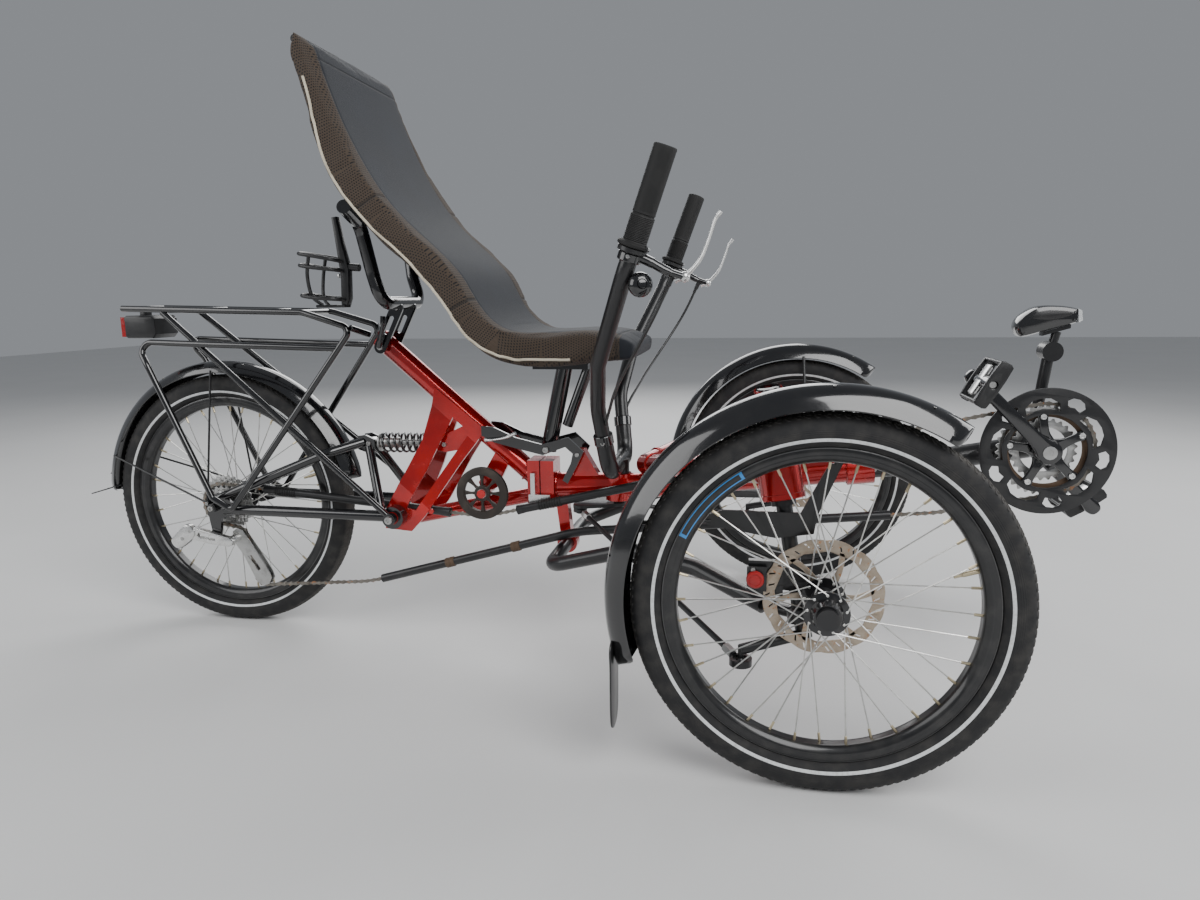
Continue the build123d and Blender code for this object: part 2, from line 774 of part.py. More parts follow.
# Hoop behind the seat and its slotted brackets on the frame's tube
hoop_r = 12.0
hoop_y = 87.0
clamp_place = (346.0, 561.0)  # on the frame tube's axis
with BuildPart() as seat_stay:
    right_half = [(361.6, -172, 798.4), (353, -100, 776), (366, -hoop_y, 690), (380, -hoop_y, 641)]
    left_half = [(x, -y, z) for x, y, z in reversed(right_half)]
    bent_bar([at(*place) for place in right_half + left_half], [30, 60, 28, 28, 60, 30], hoop_r)
    for hand in (-1, 1):
        link((382, 632), clamp_place, 12, 12, hand * 30 - 2.5, 5)
        link((372, 614), (359, 588), 4, 4, hand * 30 - 5, 10, Mode.SUBTRACT)
        cross_bar(*clamp_place, hand * (tube_r + seat_gap), hand * 30, 7)
        # Lug from the hoop to the seat's rail
        with BuildLine() as rail:
            rail_path(hand)
        lug_from = at(357, hand * 137, 787)
        reach, rail_place, _ = rail.line.distance_to_with_closest_points(Vertex(*lug_from))
        lug_line = (rail_place - lug_from).normalized()
        bar(lug_from, lug_from + lug_line * (reach - rail_r - seat_gap), 7)
save(seat_stay.part, "seat_stay")

# Front post of the seat with its latch plates
latch_outline = [
    (536, 398),
    (536, 416),
    (560, 414),
    (600, 396),
    (650, 384),
    (700, 398),
    (728, 372),
    (716, 346),
    (698, 312),
    (688, 318),
    (704, 350),
    (708, 368),
    (694, 380),
    (652, 364),
    (600, 376),
    (560, 386),
]
with BuildPart() as seat_mount:
    bar(at(655, 0, 368), at(690, 0, 528), 15)
    bar(at(692, 0, 415), at(735, 0, 528), 10)
    block((655, -100, 527), (752, 100, 536.4))
    for hand in (-1, 1):
        low, high = sorted((hand * 80, hand * 92))
        block((706, low, 536), (718, high, 555 - rail_r - seat_gap))
    cross_bar(658, 374, -29, 29, 7)
    for hand in (-1, 1):
        slab(latch_outline, hand * 30.5 - 2.5, 5)
        cross_bar(545, 391, hand * 19.4, hand * 29, 5)
        cross_bar(716, 366, hand * 13.4, hand * 29, 5)
save(seat_mount.part, "seat_mount")

# Bottle cage on the hoop's right leg
cage_y = -hoop_y
with BuildPart() as bottle_cage:
    slab([(296, 790), (308, 792), (323, 690), (310, 688)], cage_y - 9, 18)
    link((322, 706), (344.7, 703), 7, 7, cage_y - 7, 14)
    for y_right in (cage_y - 34, cage_y + 31):
        slab([(236, 738), (240, 744), (318, 716), (316, 700), (236, 700)], y_right, 3)
    block((232, cage_y - 34, 700), (237, cage_y + 34, 740))
    block((310, cage_y - 34, 696), (317, cage_y + 34, 715))
    link((312, 692), (318, 640), 6, 9, cage_y - 9, 18)
    block((262, cage_y - 20, 634), (322, cage_y + 20, 640))
save(bottle_cage.part, "bottle_cage")

# Idler: grooved rim and eight spokes
idler_floor_r = idler_groove_r - chain_h / 2 - 1
with BuildPart() as idler:
    with BuildSketch(Plane.YZ) as rim_section:
        with BuildLine():
            Polyline(
                (-idler_half, 34),
                (-idler_half, idler_rim_r),
                (-3.6, idler_rim_r),
                (-3.6, idler_floor_r),
                (3.6, idler_floor_r),
                (3.6, idler_rim_r),
                (idler_half, idler_rim_r),
                (idler_half, 34),
                close=True,
            )
        make_face()
    revolve(rim_section.sketch, axis=Axis.Y)
    with BuildSketch(Plane.XZ.offset(-4)) as spider:
        with PolarLocations(23, 8):
            Rectangle(24, 6)
        Circle(14)
        Circle(5 + seat_gap, mode=Mode.SUBTRACT)
    extrude(spider.sketch, amount=8)
save(Location(at(idler_place[0], chain_y, idler_place[1])) * idler.part, "idler")

# Chain and the tubes that guard its straight runs
faces = []
for offset in (chain_h / 2, -chain_h / 2):
    faces.append(belt_face([(x, z, r - turn * offset, turn) for x, z, r, turn in belt_wheels]))
with BuildPart() as chain:
    extrude(side_plane(chain_y + chain_w / 2).location * (faces[0] - faces[1]), amount=chain_w)
save(chain.part, "chain")
tube_runs = [
    # (straight run, bare length after its start, bare length before its end)
    (0, 92.0, 60.0),
    (1, 58.0, 190.0),
]
bend_x, bend_z, bend_r, bend_turn = belt_wheels[4]
return_from = on_straight(3, 1262)
return_to = on_straight(4, 330)


def return_tube(radius, mode=Mode.ADD):
    """The tube of the lower run, through the chain's bend below the frame."""
    meet = straights[3][1]
    leave = straights[4][0]
    with BuildLine(side_plane(chain_y)) as path:
        Line(return_from, meet)
        half_way = ((meet[0] + leave[0]) / 2 - bend_x, (meet[1] + leave[1]) / 2 - bend_z)
        reach = bend_r / hypot(*half_way)
        ThreePointArc(meet, (bend_x + half_way[0] * reach, bend_z + half_way[1] * reach), leave)
        Line(leave, return_to)
    with BuildSketch(Plane(path.line @ 0, z_dir=path.line % 0)) as section:
        Circle(radius)
    sweep(section.sketch, path=path.line, mode=mode)


with BuildPart() as chain_tubes:
    for run, bare_start, bare_end in tube_runs:
        (x1, z1), (x2, z2) = straights[run]
        start = at(x1, chain_y, z1)
        end = at(x2, chain_y, z2)
        along = (end - start).normalized()
        bar(start + along * bare_start, end - along * bare_end, chain_tube_r)
        bar(start, end, chain_bore_r, Mode.SUBTRACT)
    return_tube(chain_tube_r)
    return_tube(chain_bore_r, Mode.SUBTRACT)
save(chain_tubes.part, "chain_tubes")

# Rear derailleur: body, cage and pulleys
cage_outline = [(14, 186), (22, 204), (38, 204), (94, 116), (94, 98), (78, 90), (62, 98)]
with BuildPart() as rear_derailleur:
    link((-78, 184), (-50, 204), 13, 16, -92, 18)
    slab([(-62, 190), (-50, 220), (0, 208), (44, 196), (40, 178), (0, 182)], -92, 17.7)
    cross_bar(*guide_pulley, -76, chain_y - 6, 8)
    for y_right in (chain_y - 7, chain_y + 4.5):
        slab(cage_outline, y_right, 2)
    for place in (guide_pulley, tension_pulley):
        cross_bar(*place, chain_y - 6, chain_y + 6, 4)
        cross_bar(*place, chain_y - 1.5, chain_y + 1.5, pulley_r - chain_h / 2 - 0.6)
save(rear_derailleur.part, "rear_derailleur")

# Anti-roll bar below the frame, with its eyes round the kingpins
with BuildPart() as stabiliser:
    # The arms rise to pass over the tie rods
    middle_x, middle_z = stabiliser_middle
    half = track / 2
    right_arm = [
        (wheelbase - 76, 85.5 - half, 218),
        (wheelbase - 176, 171.5 - half, 238),
        (wheelbase - 286, 225.5 - half, 246),
        (middle_x, -150, middle_z),
    ]
    across = right_arm + [(x, -y, z) for x, y, z in reversed(right_arm)]
    bent_bar([at(*place) for place in across], [60, 60, 45, 45, 60, 60], stabiliser_r)
    for hand in (1, -1):
        top = at(kingpin_top[0], hand * kingpin_top[1], kingpin_top[2])
        foot = at(kingpin_foot[0], hand * kingpin_foot[1], kingpin_foot[2])
        down = (foot - top).normalized()
        eye = top + down * (foot - top).length * 0.468
        arm_end = at(wheelbase - 83, hand * (90 - half), 217)
        bar(arm_end, at(wheelbase - 40, hand * (64.5 - half), 218), 8)
        bar(eye - down * 9, eye + down * 9, 19)
        bar(eye - down * 20, eye + down * 20, kingpin_r + running_fit, Mode.SUBTRACT)
    # Hairline joints make five lengths of the bar: its collision pieces then follow the arch
    block((895, -300, 200), (895 + seat_gap, 300, 280), Mode.SUBTRACT)
    for y in (-100, 100):
        block((middle_x - 30, y, middle_z - 30), (middle_x + 30, y + seat_gap, middle_z + 30), Mode.SUBTRACT)
save(stabiliser.part, "stabiliser")

# Lamp on its post above the bottom bracket
with BuildPart() as lamp_bracket:
    bar(at(1490, 0, 417.5), at(1505, 0, 552), 9)
    cross_bar(1506, 552, -16, 16, 16)
    bar(at(1508, 0, 560), at(1514, 0, 584), 7)
    slab([(1490, 583.3), (1532, 595.6), (1532, 589.6), (1490, 577.3)], -8, 16)
save(lamp_bracket.part, "lamp_bracket")
lamp_outline = [(1447, 592), (1452, 610), (1480, 626), (1537, 622), (1539, 598), (1457, 574)]
with BuildPart() as lamp:
    slab(lamp_outline, -21, 42)
save(lamp.part, "lamp")
with BuildPart() as lamp_lens:
    slab([(1537.3, 621), (1543, 618), (1545, 602), (1539.3, 599)], -19, 38)
save(lamp_lens.part, "lamp_lens")

# Knuckles: kingpin, carrier, stub axle, brake lug and steering arm
kingpin_down = (at(*kingpin_foot) - at(*kingpin_top)).normalized()
kingpin_from = at(*kingpin_top) - kingpin_down * 15
kingpin_to = at(*kingpin_top) + kingpin_down * 228
hub_face_y = -track / 2 + hub_in
with BuildPart() as knuckle:
    bar(kingpin_from, kingpin_to, kingpin_r)
    collar = at(*kingpin_top) + kingpin_down * (housing_below + seat_gap)
    bar(collar, collar + kingpin_down * 8, 17)
    bar(by_wheel(-33, 62, 262), by_wheel(0, 57.5, 255), 15)
    cross_bar(wheelbase, tyre_r, hub_face_y + seat_gap, 69.5 - track / 2, 16)
    cross_bar(wheelbase, tyre_r, -track / 2 - 51, 63.5 - track / 2, stub_r)
    cross_bar(wheelbase, tyre_r, -track / 2 - 51, -track / 2 + hub_out - seat_gap, 14)
    lug = [(-76, 258), (-76, 290), (-50, 300), (-22, 284), (-22, 252)]
    slab([(wheelbase + x, z) for x, z in lug], 47.5 - track / 2, 8)
    bar(by_wheel(-21.8, 51.5, 192.5), by_wheel(-106, 33.5, 172), 7.5)
    bar(by_wheel(-106, 33.5, 178), by_wheel(-106, 33.5, 151), 4)
    with Locations(at(*knuckle_ball)):
        Sphere(ball_r)
with BuildPart() as caliper:
    # (low corner, high corner) from the axle and the wheel's middle plane
    for (x1, y1, z1), (x2, y2, z2) in (
        ((-98, 37, 250), (-52, 47.2, 298)),
        ((-100, 29, 258), (-74, 32, 292)),
        ((-100, 29, 262), (-84, 45.5, 288)),
    ):
        block((wheelbase + x1, y1 - track / 2, z1), (wheelbase + x2, y2 - track / 2, z2))
    bar(by_wheel(-89, 47.2, 266), by_wheel(-89, 59.5, 266), 11)
    # The disc turns in the slot between the two halves
    cross_bar(wheelbase, tyre_r, 32 - track / 2, 37 - track / 2, rotor_r + 1.5, Mode.SUBTRACT)
front_guard_section = guard_section(33, 258, 288, 3)
with BuildPart() as front_fender:
    add(Location(wheel_centres["right"]) * guard_part(front_guard_section, 55, 200))
    flap = [(-269, 172), (-280, 150), (-278, 64), (-274.5, 64), (-276, 148), (-265, 166)]
    slab([(wheelbase + x, z) for x, z in flap], -30 - track / 2, 60)
# (forward of the axle, above the ground)
bracket_outline = [
    (-162, 351),
    (-134, 361),
    (-31, 360),
    (4, 428),
    (22, 431),
    (-9, 357),
    (-13, 332),
    (-62, 324),
    (-155, 339),
]
with BuildPart() as fender_bracket:
    middle = at(*kingpin_top) + kingpin_down * 70
    bar(middle - kingpin_down * 11, middle + kingpin_down * 11, 18)
    bar(middle - kingpin_down * 30, middle + kingpin_down * 30, kingpin_r + seat_gap, Mode.SUBTRACT)
    slab([(wheelbase + x, z) for x, z in bracket_outline], 57.5 - track / 2, 3)
    for start, end in (((-151, 59, 345), (-242, 36.3, 345)), ((13, 59, 428), (9, 36.3, 515))):
        bar(by_wheel(*start), by_wheel(*end), 3)
for side in SIDES:
    save(mirrored(knuckle.part, side), f"{side}_knuckle")
    save(mirrored(caliper.part, side), f"{side}_caliper")
    save(mirrored(front_fender.part, side), f"{side}_fender")
    save(mirrored(fender_bracket.part, side), f"{side}_fender_bracket")

# Tie rods, from the plate under the column to the steering arms
rod_from = at(*pitman_ball)
rod_to = at(*knuckle_ball)
rod_line = (rod_to - rod_from).normalized()
outer_eye_r = ball_r + rod_drift + 5
pin_up = Vector(*rod_lean, 1).normalized()
with BuildPart() as tie_rod:
    bar(rod_from + rod_line * 10, rod_to - rod_line * 14, rod_r)
    bar(rod_from - pin_up * 3.2, rod_from + pin_up * 3.2, rod_eye_r)
    bar(rod_from - pin_up * 20, rod_from + pin_up * 20, ball_r + running_fit, Mode.SUBTRACT)
    with Locations(rod_to):
        Cylinder(outer_eye_r, 10)
        Cylinder(ball_r + rod_drift, 40, mode=Mode.SUBTRACT)
for side in SIDES:
    save(mirrored(tie_rod.part, side), f"{side}_tie_rod")

# Handlebar: column, plate for the tie rods, lower yoke and the two arms
lower_bar_r = 15.0
upper_bar_r = 13.0
yoke_z = 345.0
bar_bore_r = 9.5
bar_bore_depth = 40.0
ring_place = (779.4, 103.1, 403.0)
arm_line = [ring_place, (772, 118, 460), (785, 185, 540), (842, 282, 675), (905, 300, 850)]
grip_foot = at(857, 286.3, 716.7)
grip_tip = at(*arm_line[-1])
grip_line = (grip_tip - at(*arm_line[-2])).normalized()
with BuildPart() as handlebar:
    bar(at(steering_x, 0, 268), at(steering_x, 0, yoke_z), column_r)
    bar(at(steering_x, 0, 329.6), at(steering_x, 0, yoke_z + 10), 20)
    with BuildSketch(Plane((rear_x, 0, 267.5))) as plate:
        for x, y, radius in ((steering_x, 0, 16), (pitman_ball[0], 30, 13), (pitman_ball[0], -30, 13)):
            with Locations((x, y)):
                Circle(radius)
        make_hull()
    extrude(plate.sketch, amount=6)
    for hand in (-1, 1):
        pin = at(pitman_ball[0], hand * 30, pitman_ball[2])
        lean = Vector(rod_lean[0], -hand * rod_lean[1], 1).normalized()
        bar(pin - lean * 6, pin + lean * 5, ball_r)
        bent_bar([at(x, hand * y, z) for x, y, z in arm_line], [60, 60, 60], upper_bar_r)
        with Locations(at(ring_place[0], hand * ring_place[1], ring_place[2])):
            Sphere(lower_bar_r)
    yoke = [
        (ring_place[0], -ring_place[1], ring_place[2]),
        (steering_x, -88, yoke_z),
        (steering_x, 88, yoke_z),
        ring_place,
    ]
    bent_bar([at(*place) for place in yoke], [38, 38], lower_bar_r)
    # Open ends that take a mirror's plug
    for hand in (-1, 1):
        tip = at(arm_line[-1][0], hand * arm_line[-1][1], arm_line[-1][2])
        out = Vector(grip_line.X, hand * grip_line.Y, grip_line.Z)
        bar(tip - out * bar_bore_depth, tip + out, bar_bore_r, Mode.SUBTRACT)
save(handlebar.part, "handlebar")
with BuildPart() as left_grip:
    bar(grip_foot, grip_tip, 17)
    bar(grip_foot, grip_foot + grip_line * 6, 24)
    bar(grip_foot - grip_line * 5, grip_tip + grip_line, upper_bar_r + seat_gap, Mode.SUBTRACT)
    # Round the bar's open end the rubber is made of eight staves
    stave_foot = grip_tip - grip_line * (bar_bore_depth + 5)
    bar(stave_foot, stave_foot + grip_line * seat_gap, 20, Mode.SUBTRACT)
    for turn in (0, 45, 90, 135):
        with Locations(Plane(stave_foot, z_dir=grip_line).rotated((0, 0, turn)).location):
            Box(60, seat_gap, 110, align=(Align.CENTER, Align.CENTER, Align.MIN), mode=Mode.SUBTRACT)
with BuildPart() as grips:
    add(left_grip.part)
    add(mirror(left_grip.part, about=Plane.XZ))
save(grips.part, "grips")
with BuildPart() as left_lever:
    clamp = grip_foot - grip_line * 20
    bar(clamp, clamp + grip_line * 14, 18)
    bar(clamp + grip_line * 7 + Vector(12, 0, 0), at(930, 281, 676), 8)
    bar(clamp - grip_line * 5, grip_tip, upper_bar_r + seat_gap, Mode.SUBTRACT)
    bent_bar([at(928, 281, 674), at(962, 286, 712), at(978, 292, 762)], [30], 5)
with BuildPart() as controls:
    add(left_lever.part)
    add(mirror(left_lever.part, about=Plane.XZ))
save(controls.part, "controls")

# Crankset: spindle, two arms and the pedal axles
crank_turn = radians(crank_angle)
crank_reach = (crank_length * cos(crank_turn), crank_length * sin(crank_turn))
right_end = (bb_x + crank_reach[0], bb_z + crank_reach[1])
left_end = (bb_x - crank_reach[0], bb_z - crank_reach[1])
pedal_axle_r = 6.0
arm_in = 61.0
arm_t = 13.0
pedal_in = 92.0
pedal_out = 188.0
with BuildPart() as crankset:
    cross_bar(*bottom_bracket, -arm_in - 1, arm_in + 1, 12)
    for end, hand in ((right_end, -1), (left_end, 1)):
        link(bottom_bracket, end, 19, 13, min(hand * arm_in, hand * (arm_in + arm_t)), arm_t)
        cross_bar(*end, hand * (arm_in + 2), hand * (pedal_out - 6), pedal_axle_r)
save(crankset.part, "crankset")
guard_y = -57.0
with BuildPart() as chainrings:
    # (outer radius, inner radius, right face, thickness)
    for outer, inner, y_right, thickness in (
        (guard_r, 82.0, guard_y - 3.0, 3.0),
        (chainring_r - chain_h / 2 - 1.2, 40.0, chain_y - 1.0, 2.0),
        (52.0, 36.0, -39.0, 2.0),
    ):
        with BuildSketch(Plane(at(bb_x, y_right + thickness, bb_z), x_dir=(1, 0, 0), z_dir=(0, -1, 0))) as ring:
            Circle(outer)
            Circle(inner, mode=Mode.SUBTRACT)
        extrude(ring.sketch, amount=thickness)
    for arm in range(5):
        turn = crank_turn + 2 * pi * (arm + 0.5) / 5
        tip = (bb_x + 88 * cos(turn), bb_z + 88 * sin(turn))
        bolt = (bb_x + 46 * cos(turn), bb_z + 46 * sin(turn))
        link(bottom_bracket, tip, 14, 8, guard_y, 4)
        cross_bar(*bolt, guard_y + 1, -37, 5)
    cross_bar(*bottom_bracket, guard_y - 3, guard_y + 6, 20)
    cross_bar(*bottom_bracket, guard_y - 4, guard_y + 7, 12 + seat_gap, Mode.SUBTRACT)
save(chainrings.part, "chainrings")

# Pedals: pierced platforms
pedal_tilts = {"right": 60.0, "left": 35.0}
for side, end in (("right", right_end), ("left", left_end)):
    middle_y = -SIDES[side] * (pedal_in + pedal_out) / 2
    with BuildPart() as pedal:
        Box(76, pedal_out - pedal_in, 24)
        for x in (-23, 23):
            with Locations((x, 0, 0)):
                Box(18, pedal_out - pedal_in - 16, 30, mode=Mode.SUBTRACT)
        Cylinder(pedal_axle_r + running_fit, 200, rotation=(90, 0, 0), mode=Mode.SUBTRACT)
    place = Location(at(end[0], middle_y, end[1])) * Location((0, 0, 0), (0, -pedal_tilts[side], 0))
    save(place * pedal.part, f"{side}_pedal")
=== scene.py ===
"""Dresses the recumbent trike: finishes for every solid, and finer pieces where a plain solid falls short.

Places are given as in the drawing, in millimetres forward of the rear axle, left of the middle and
above the ground. at() turns them into the scene's metres, whose origin is under the trike's middle.
"""

import json
import logging
from dataclasses import dataclass
from enum import Enum
from math import asin, atan2, cos, hypot, pi, radians, sin
from typing import Sequence

import bmesh
import bpy
from mathutils import Matrix, Vector
from mathutils.bvhtree import BVHTree


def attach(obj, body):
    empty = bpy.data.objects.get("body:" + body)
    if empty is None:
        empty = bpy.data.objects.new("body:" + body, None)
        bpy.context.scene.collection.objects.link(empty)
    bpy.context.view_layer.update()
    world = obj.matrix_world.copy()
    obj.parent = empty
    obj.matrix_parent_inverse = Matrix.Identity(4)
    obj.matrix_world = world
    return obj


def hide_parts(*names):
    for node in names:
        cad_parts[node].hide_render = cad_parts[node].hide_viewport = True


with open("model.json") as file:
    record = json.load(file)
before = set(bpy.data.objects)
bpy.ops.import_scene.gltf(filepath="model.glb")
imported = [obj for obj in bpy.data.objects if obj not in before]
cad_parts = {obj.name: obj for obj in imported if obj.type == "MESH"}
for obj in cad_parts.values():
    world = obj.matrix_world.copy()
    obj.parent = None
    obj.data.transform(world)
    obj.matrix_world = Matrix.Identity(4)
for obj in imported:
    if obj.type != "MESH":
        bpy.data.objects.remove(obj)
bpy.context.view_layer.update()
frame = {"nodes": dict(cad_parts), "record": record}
log = logging.getLogger("trike")

MM = 0.001
REAR_X = -664.6
WHEELBASE = 1126.0
HALF_TRACK = 433.5
AXLE_Z = 253.0
KINGPIN_TOP = (1066, 345, 410)
KINGPIN_FOOT = (1138, 415, 0)
AHEAD = Vector((1, 0, 0))
LEFT = Vector((0, 1, 0))
RIGHT = Vector((0, -1, 0))
UP = Vector((0, 0, 1))
UPRIGHT = Matrix(((1, 0, 0), (0, 0, 1), (0, 1, 0))).to_4x4()
SIDES = {"right": 1, "left": -1}
Place = tuple[float, float, float]
Flat = tuple[float, float]
Piece = bpy.types.Object
Material = bpy.types.Material


def at(x: float, y: float, z: float) -> Vector:
    """A drawing place as a scene place, in metres."""
    return Vector(((REAR_X + x) * MM, y * MM, z * MM))


def spots(places: Sequence[Place], hand: int = 1) -> list[Vector]:
    """Drawing places as scene places, mirrored across the middle where hand is -1."""
    return [at(x, hand * y, z) for x, y, z in places]


def polar(radius: float, turn: float) -> Flat:
    """A flat place from its distance and its turn in radians."""
    return radius * cos(turn), radius * sin(turn)


# Shader maths and node trees


class Wire:
    """An output socket of a shader node, which takes part in sums as a number does."""

    def __init__(self, graph: "Graph", socket: bpy.types.NodeSocket) -> None:
        """Args: graph: the tree that holds the socket. socket: the output."""
        self.graph = graph
        self.socket = socket

    def maths(self, operation: str, *others: "Wire | float") -> "Wire":
        """Applies one Math node.

        Args:
            operation: the Math node's operation.
            others: its second and third values.

        Returns:
            The node's output.
        """
        inputs = {number: value for number, value in enumerate((self, *others))}
        return self.graph.node("ShaderNodeMath", {"operation": operation}, inputs)

    def __add__(self, other: "Wire | float") -> "Wire":
        """Sum."""
        return self.maths("ADD", other)

    __radd__ = __add__

    def __mul__(self, other: "Wire | float") -> "Wire":
        """Product."""
        return self.maths("MULTIPLY", other)

    __rmul__ = __mul__

    def __sub__(self, other: "Wire | float") -> "Wire":
        """Difference."""
        return self.maths("SUBTRACT", other)

    def __rsub__(self, other: float) -> "Wire":
        """A number less this."""
        return self.graph.node("ShaderNodeMath", {"operation": "SUBTRACT"}, {0: other, 1: self})

    def __truediv__(self, other: "Wire | float") -> "Wire":
        """Quotient."""
        return self.maths("DIVIDE", other)

    def __gt__(self, other: "Wire | float") -> "Wire":
        """1 where this is larger."""
        return self.maths("GREATER_THAN", other)

    def __lt__(self, other: "Wire | float") -> "Wire":
        """1 where this is smaller."""
        return self.maths("LESS_THAN", other)

    def clamped(self) -> "Wire":
        """The value held between 0 and 1."""
        return self.graph.node("ShaderNodeClamp", {}, {0: self})

    def ramp(self, low: float, high: float) -> "Wire":
        """0 below low and 1 above high, smooth between them."""
        inputs = {"Value": self, "From Min": low, "From Max": high}
        return self.graph.node("ShaderNodeMapRange", {"interpolation_type": "SMOOTHSTEP"}, inputs)

    def peak(self, middle: float, half: float, soft: float) -> "Wire":
        """1 within half of the middle value, falling to 0 over the soft width."""
        away = self.maths("SUBTRACT", middle).maths("ABSOLUTE")
        return 1 - away.ramp(half, half + soft)


class Tree:
    """A node tree and the ways to add to it."""

    def __init__(self, tree: bpy.types.NodeTree) -> None:
        """Args: tree: the tree that is filled."""
        self.tree = tree

    def node(self, kind: str, settings: dict, inputs: dict, output: int | str = 0) -> Wire:
        """Adds a node.

        Args:
            kind: the node's type.
            settings: its properties, set before its sockets.
            inputs: socket name or number to a value or Wire.
            output: which output to return.

        Returns:
            That output.
        """
        made = self.tree.nodes.new(kind)
        for key, value in settings.items():
            setattr(made, key, value)
        for key, value in inputs.items():
            self.feed(made.inputs[key], value)
        return Wire(self, made.outputs[output])

    def feed(self, socket: bpy.types.NodeSocket, value: object) -> None:
        """Links a Wire to a socket, or sets the socket's own value."""
        if isinstance(value, Wire):
            self.tree.links.new(value.socket, socket)
        else:
            socket.default_value = value

    def parts(self, vector: Wire) -> tuple[Wire, Wire, Wire]:
        """The three numbers of a vector."""
        made = self.tree.nodes.new("ShaderNodeSeparateXYZ")
        self.tree.links.new(vector.socket, made.inputs[0])
        return tuple(Wire(self, out) for out in made.outputs)

    def join(self, x: Wire | float, y: Wire | float, z: Wire | float) -> Wire:
        """A vector of three numbers."""
        return self.node("ShaderNodeCombineXYZ", {}, {0: x, 1: y, 2: z})


class Graph(Tree):
    """One material's node tree, ended by its Principled shader."""

    def __init__(self, name: str) -> None:
        """Args: name: the material's name."""
        self.material = bpy.data.materials.new(name + "_finish")
        self.material.use_nodes = True
        super().__init__(self.material.node_tree)
        self.shader = self.tree.nodes["Principled BSDF"]
        self.place = self.node("ShaderNodeTexCoord", {}, {}, "Object")

    def mix(self, factor: Wire | float, low: object, high: object) -> Wire:
        """A colour between two, each a Wire or a tuple."""
        low = (*low, 1) if isinstance(low, tuple) else low
        high = (*high, 1) if isinstance(high, tuple) else high
        return self.node("ShaderNodeMix", {"data_type": "RGBA"}, {0: factor, 6: low, 7: high}, 2)

    def noise(self, scale: float, detail: float = 3, vector: Wire | None = None) -> Wire:
        """Cloudy noise from 0 to 1, scale being its cells to a metre."""
        inputs = {"Vector": vector or self.place, "Scale": scale, "Detail": detail}
        return self.node("ShaderNodeTexNoise", {}, inputs)

    def cells(self, scale: float) -> Wire:
        """Distances in a cell pattern."""
        return self.node("ShaderNodeTexVoronoi", {}, {"Vector": self.place, "Scale": scale}, "Distance")

    def moved(self, centre: Vector, scale: Sequence[float] = (1, 1, 1)) -> Wire:
        """Object coordinates from a centre, stretched along the axes."""
        offset = [-c * s for c, s in zip(centre, scale)]
        inputs = {"Vector": self.place, "Location": offset, "Scale": list(scale)}
        return self.node("ShaderNodeMapping", {}, inputs)

    def bump(self, height: Wire, distance: float, strength: float) -> Wire:
        """Surface relief of a real height in metres."""
        return self.node("ShaderNodeBump", {}, {"Height": height, "Distance": distance, "Strength": strength})

    def finish(self, **sockets: object) -> Material:
        """Feeds the shader's sockets, named with underscores for spaces, and returns the material."""
        for key, value in sockets.items():
            value = (*value, 1) if isinstance(value, tuple) and len(value) == 3 else value
            self.feed(self.shader.inputs[key.replace("_", " ")], value)
        return self.material


@dataclass(frozen=True)
class Lacquer:
    """Sprayed paint under clear lacquer, with a little dust and fine scratches."""

    name: str
    colour: Place
    deep: Place
    metallic: float
    roughness: float
    flake: float = 0.0
    dust: float = 0.05
    coat: float = 1.0

    def build(self) -> Material:
        """Returns the material."""
        g = Graph(self.name)
        broad = g.noise(9, 4)
        colour = g.mix(broad.ramp(0.3, 0.72), self.deep, self.colour)
        if self.flake:
            spark = g.cells(2600).ramp(0.16, 0.02) * g.noise(900, 1)
            colour = g.mix(spark * self.flake, colour, (1.0, 0.45, 0.32))
        height = g.parts(g.place)[2]
        settled = g.noise(60, 6).ramp(0.5, 0.78) * (1 - height.ramp(0.1, 0.75) * 0.6)
        colour = g.mix(settled * self.dust, colour, (0.42, 0.37, 0.3))
        scratch = g.noise(1, 2, g.moved(Vector(), (40, 900, 300))).ramp(0.66, 0.74)
        rough = self.roughness + broad * 0.06 + settled * self.dust * 2 + scratch * 0.04
        peel = g.bump(g.noise(420, 2), 0.0002, 0.25)
        return g.finish(
            Base_Color=colour, Metallic=self.metallic, Roughness=rough, Coat_Weight=self.coat,
            Coat_Roughness=0.04, Normal=peel,
        )


@dataclass(frozen=True)
class Metal:
    """Bare or plated metal: turned or drawn grain, stains in cloudy patches and, where old, rust."""

    name: str
    colour: Place
    stain: Place
    roughness: float
    grain: Place = (60, 1800, 60)
    rust: float = 0.0

    def build(self) -> Material:
        """Returns the material."""
        g = Graph(self.name)
        lines = g.noise(1, 3, g.moved(Vector(), self.grain))
        patch = g.noise(70, 6)
        colour = g.mix(patch.ramp(0.42, 0.8) * 0.7, self.colour, self.stain)
        colour = g.mix(lines * 0.25, colour, self.stain)
        metallic = 1.0
        rough = self.roughness + lines * 0.12 + patch * 0.08
        if self.rust:
            eaten = g.noise(160, 7).ramp(0.62 - 0.25 * self.rust, 0.74 - 0.25 * self.rust)
            brown = g.mix(g.noise(500, 3), (0.36, 0.13, 0.035), (0.62, 0.27, 0.09))
            colour = g.mix(eaten * 0.85, colour, brown)
            metallic = 1 - eaten * 0.8
            rough = rough + eaten * 0.35
        return g.finish(
            Base_Color=colour, Metallic=metallic, Roughness=rough,
            Normal=g.bump(lines + patch * 0.4, 0.00012, 0.3),
        )


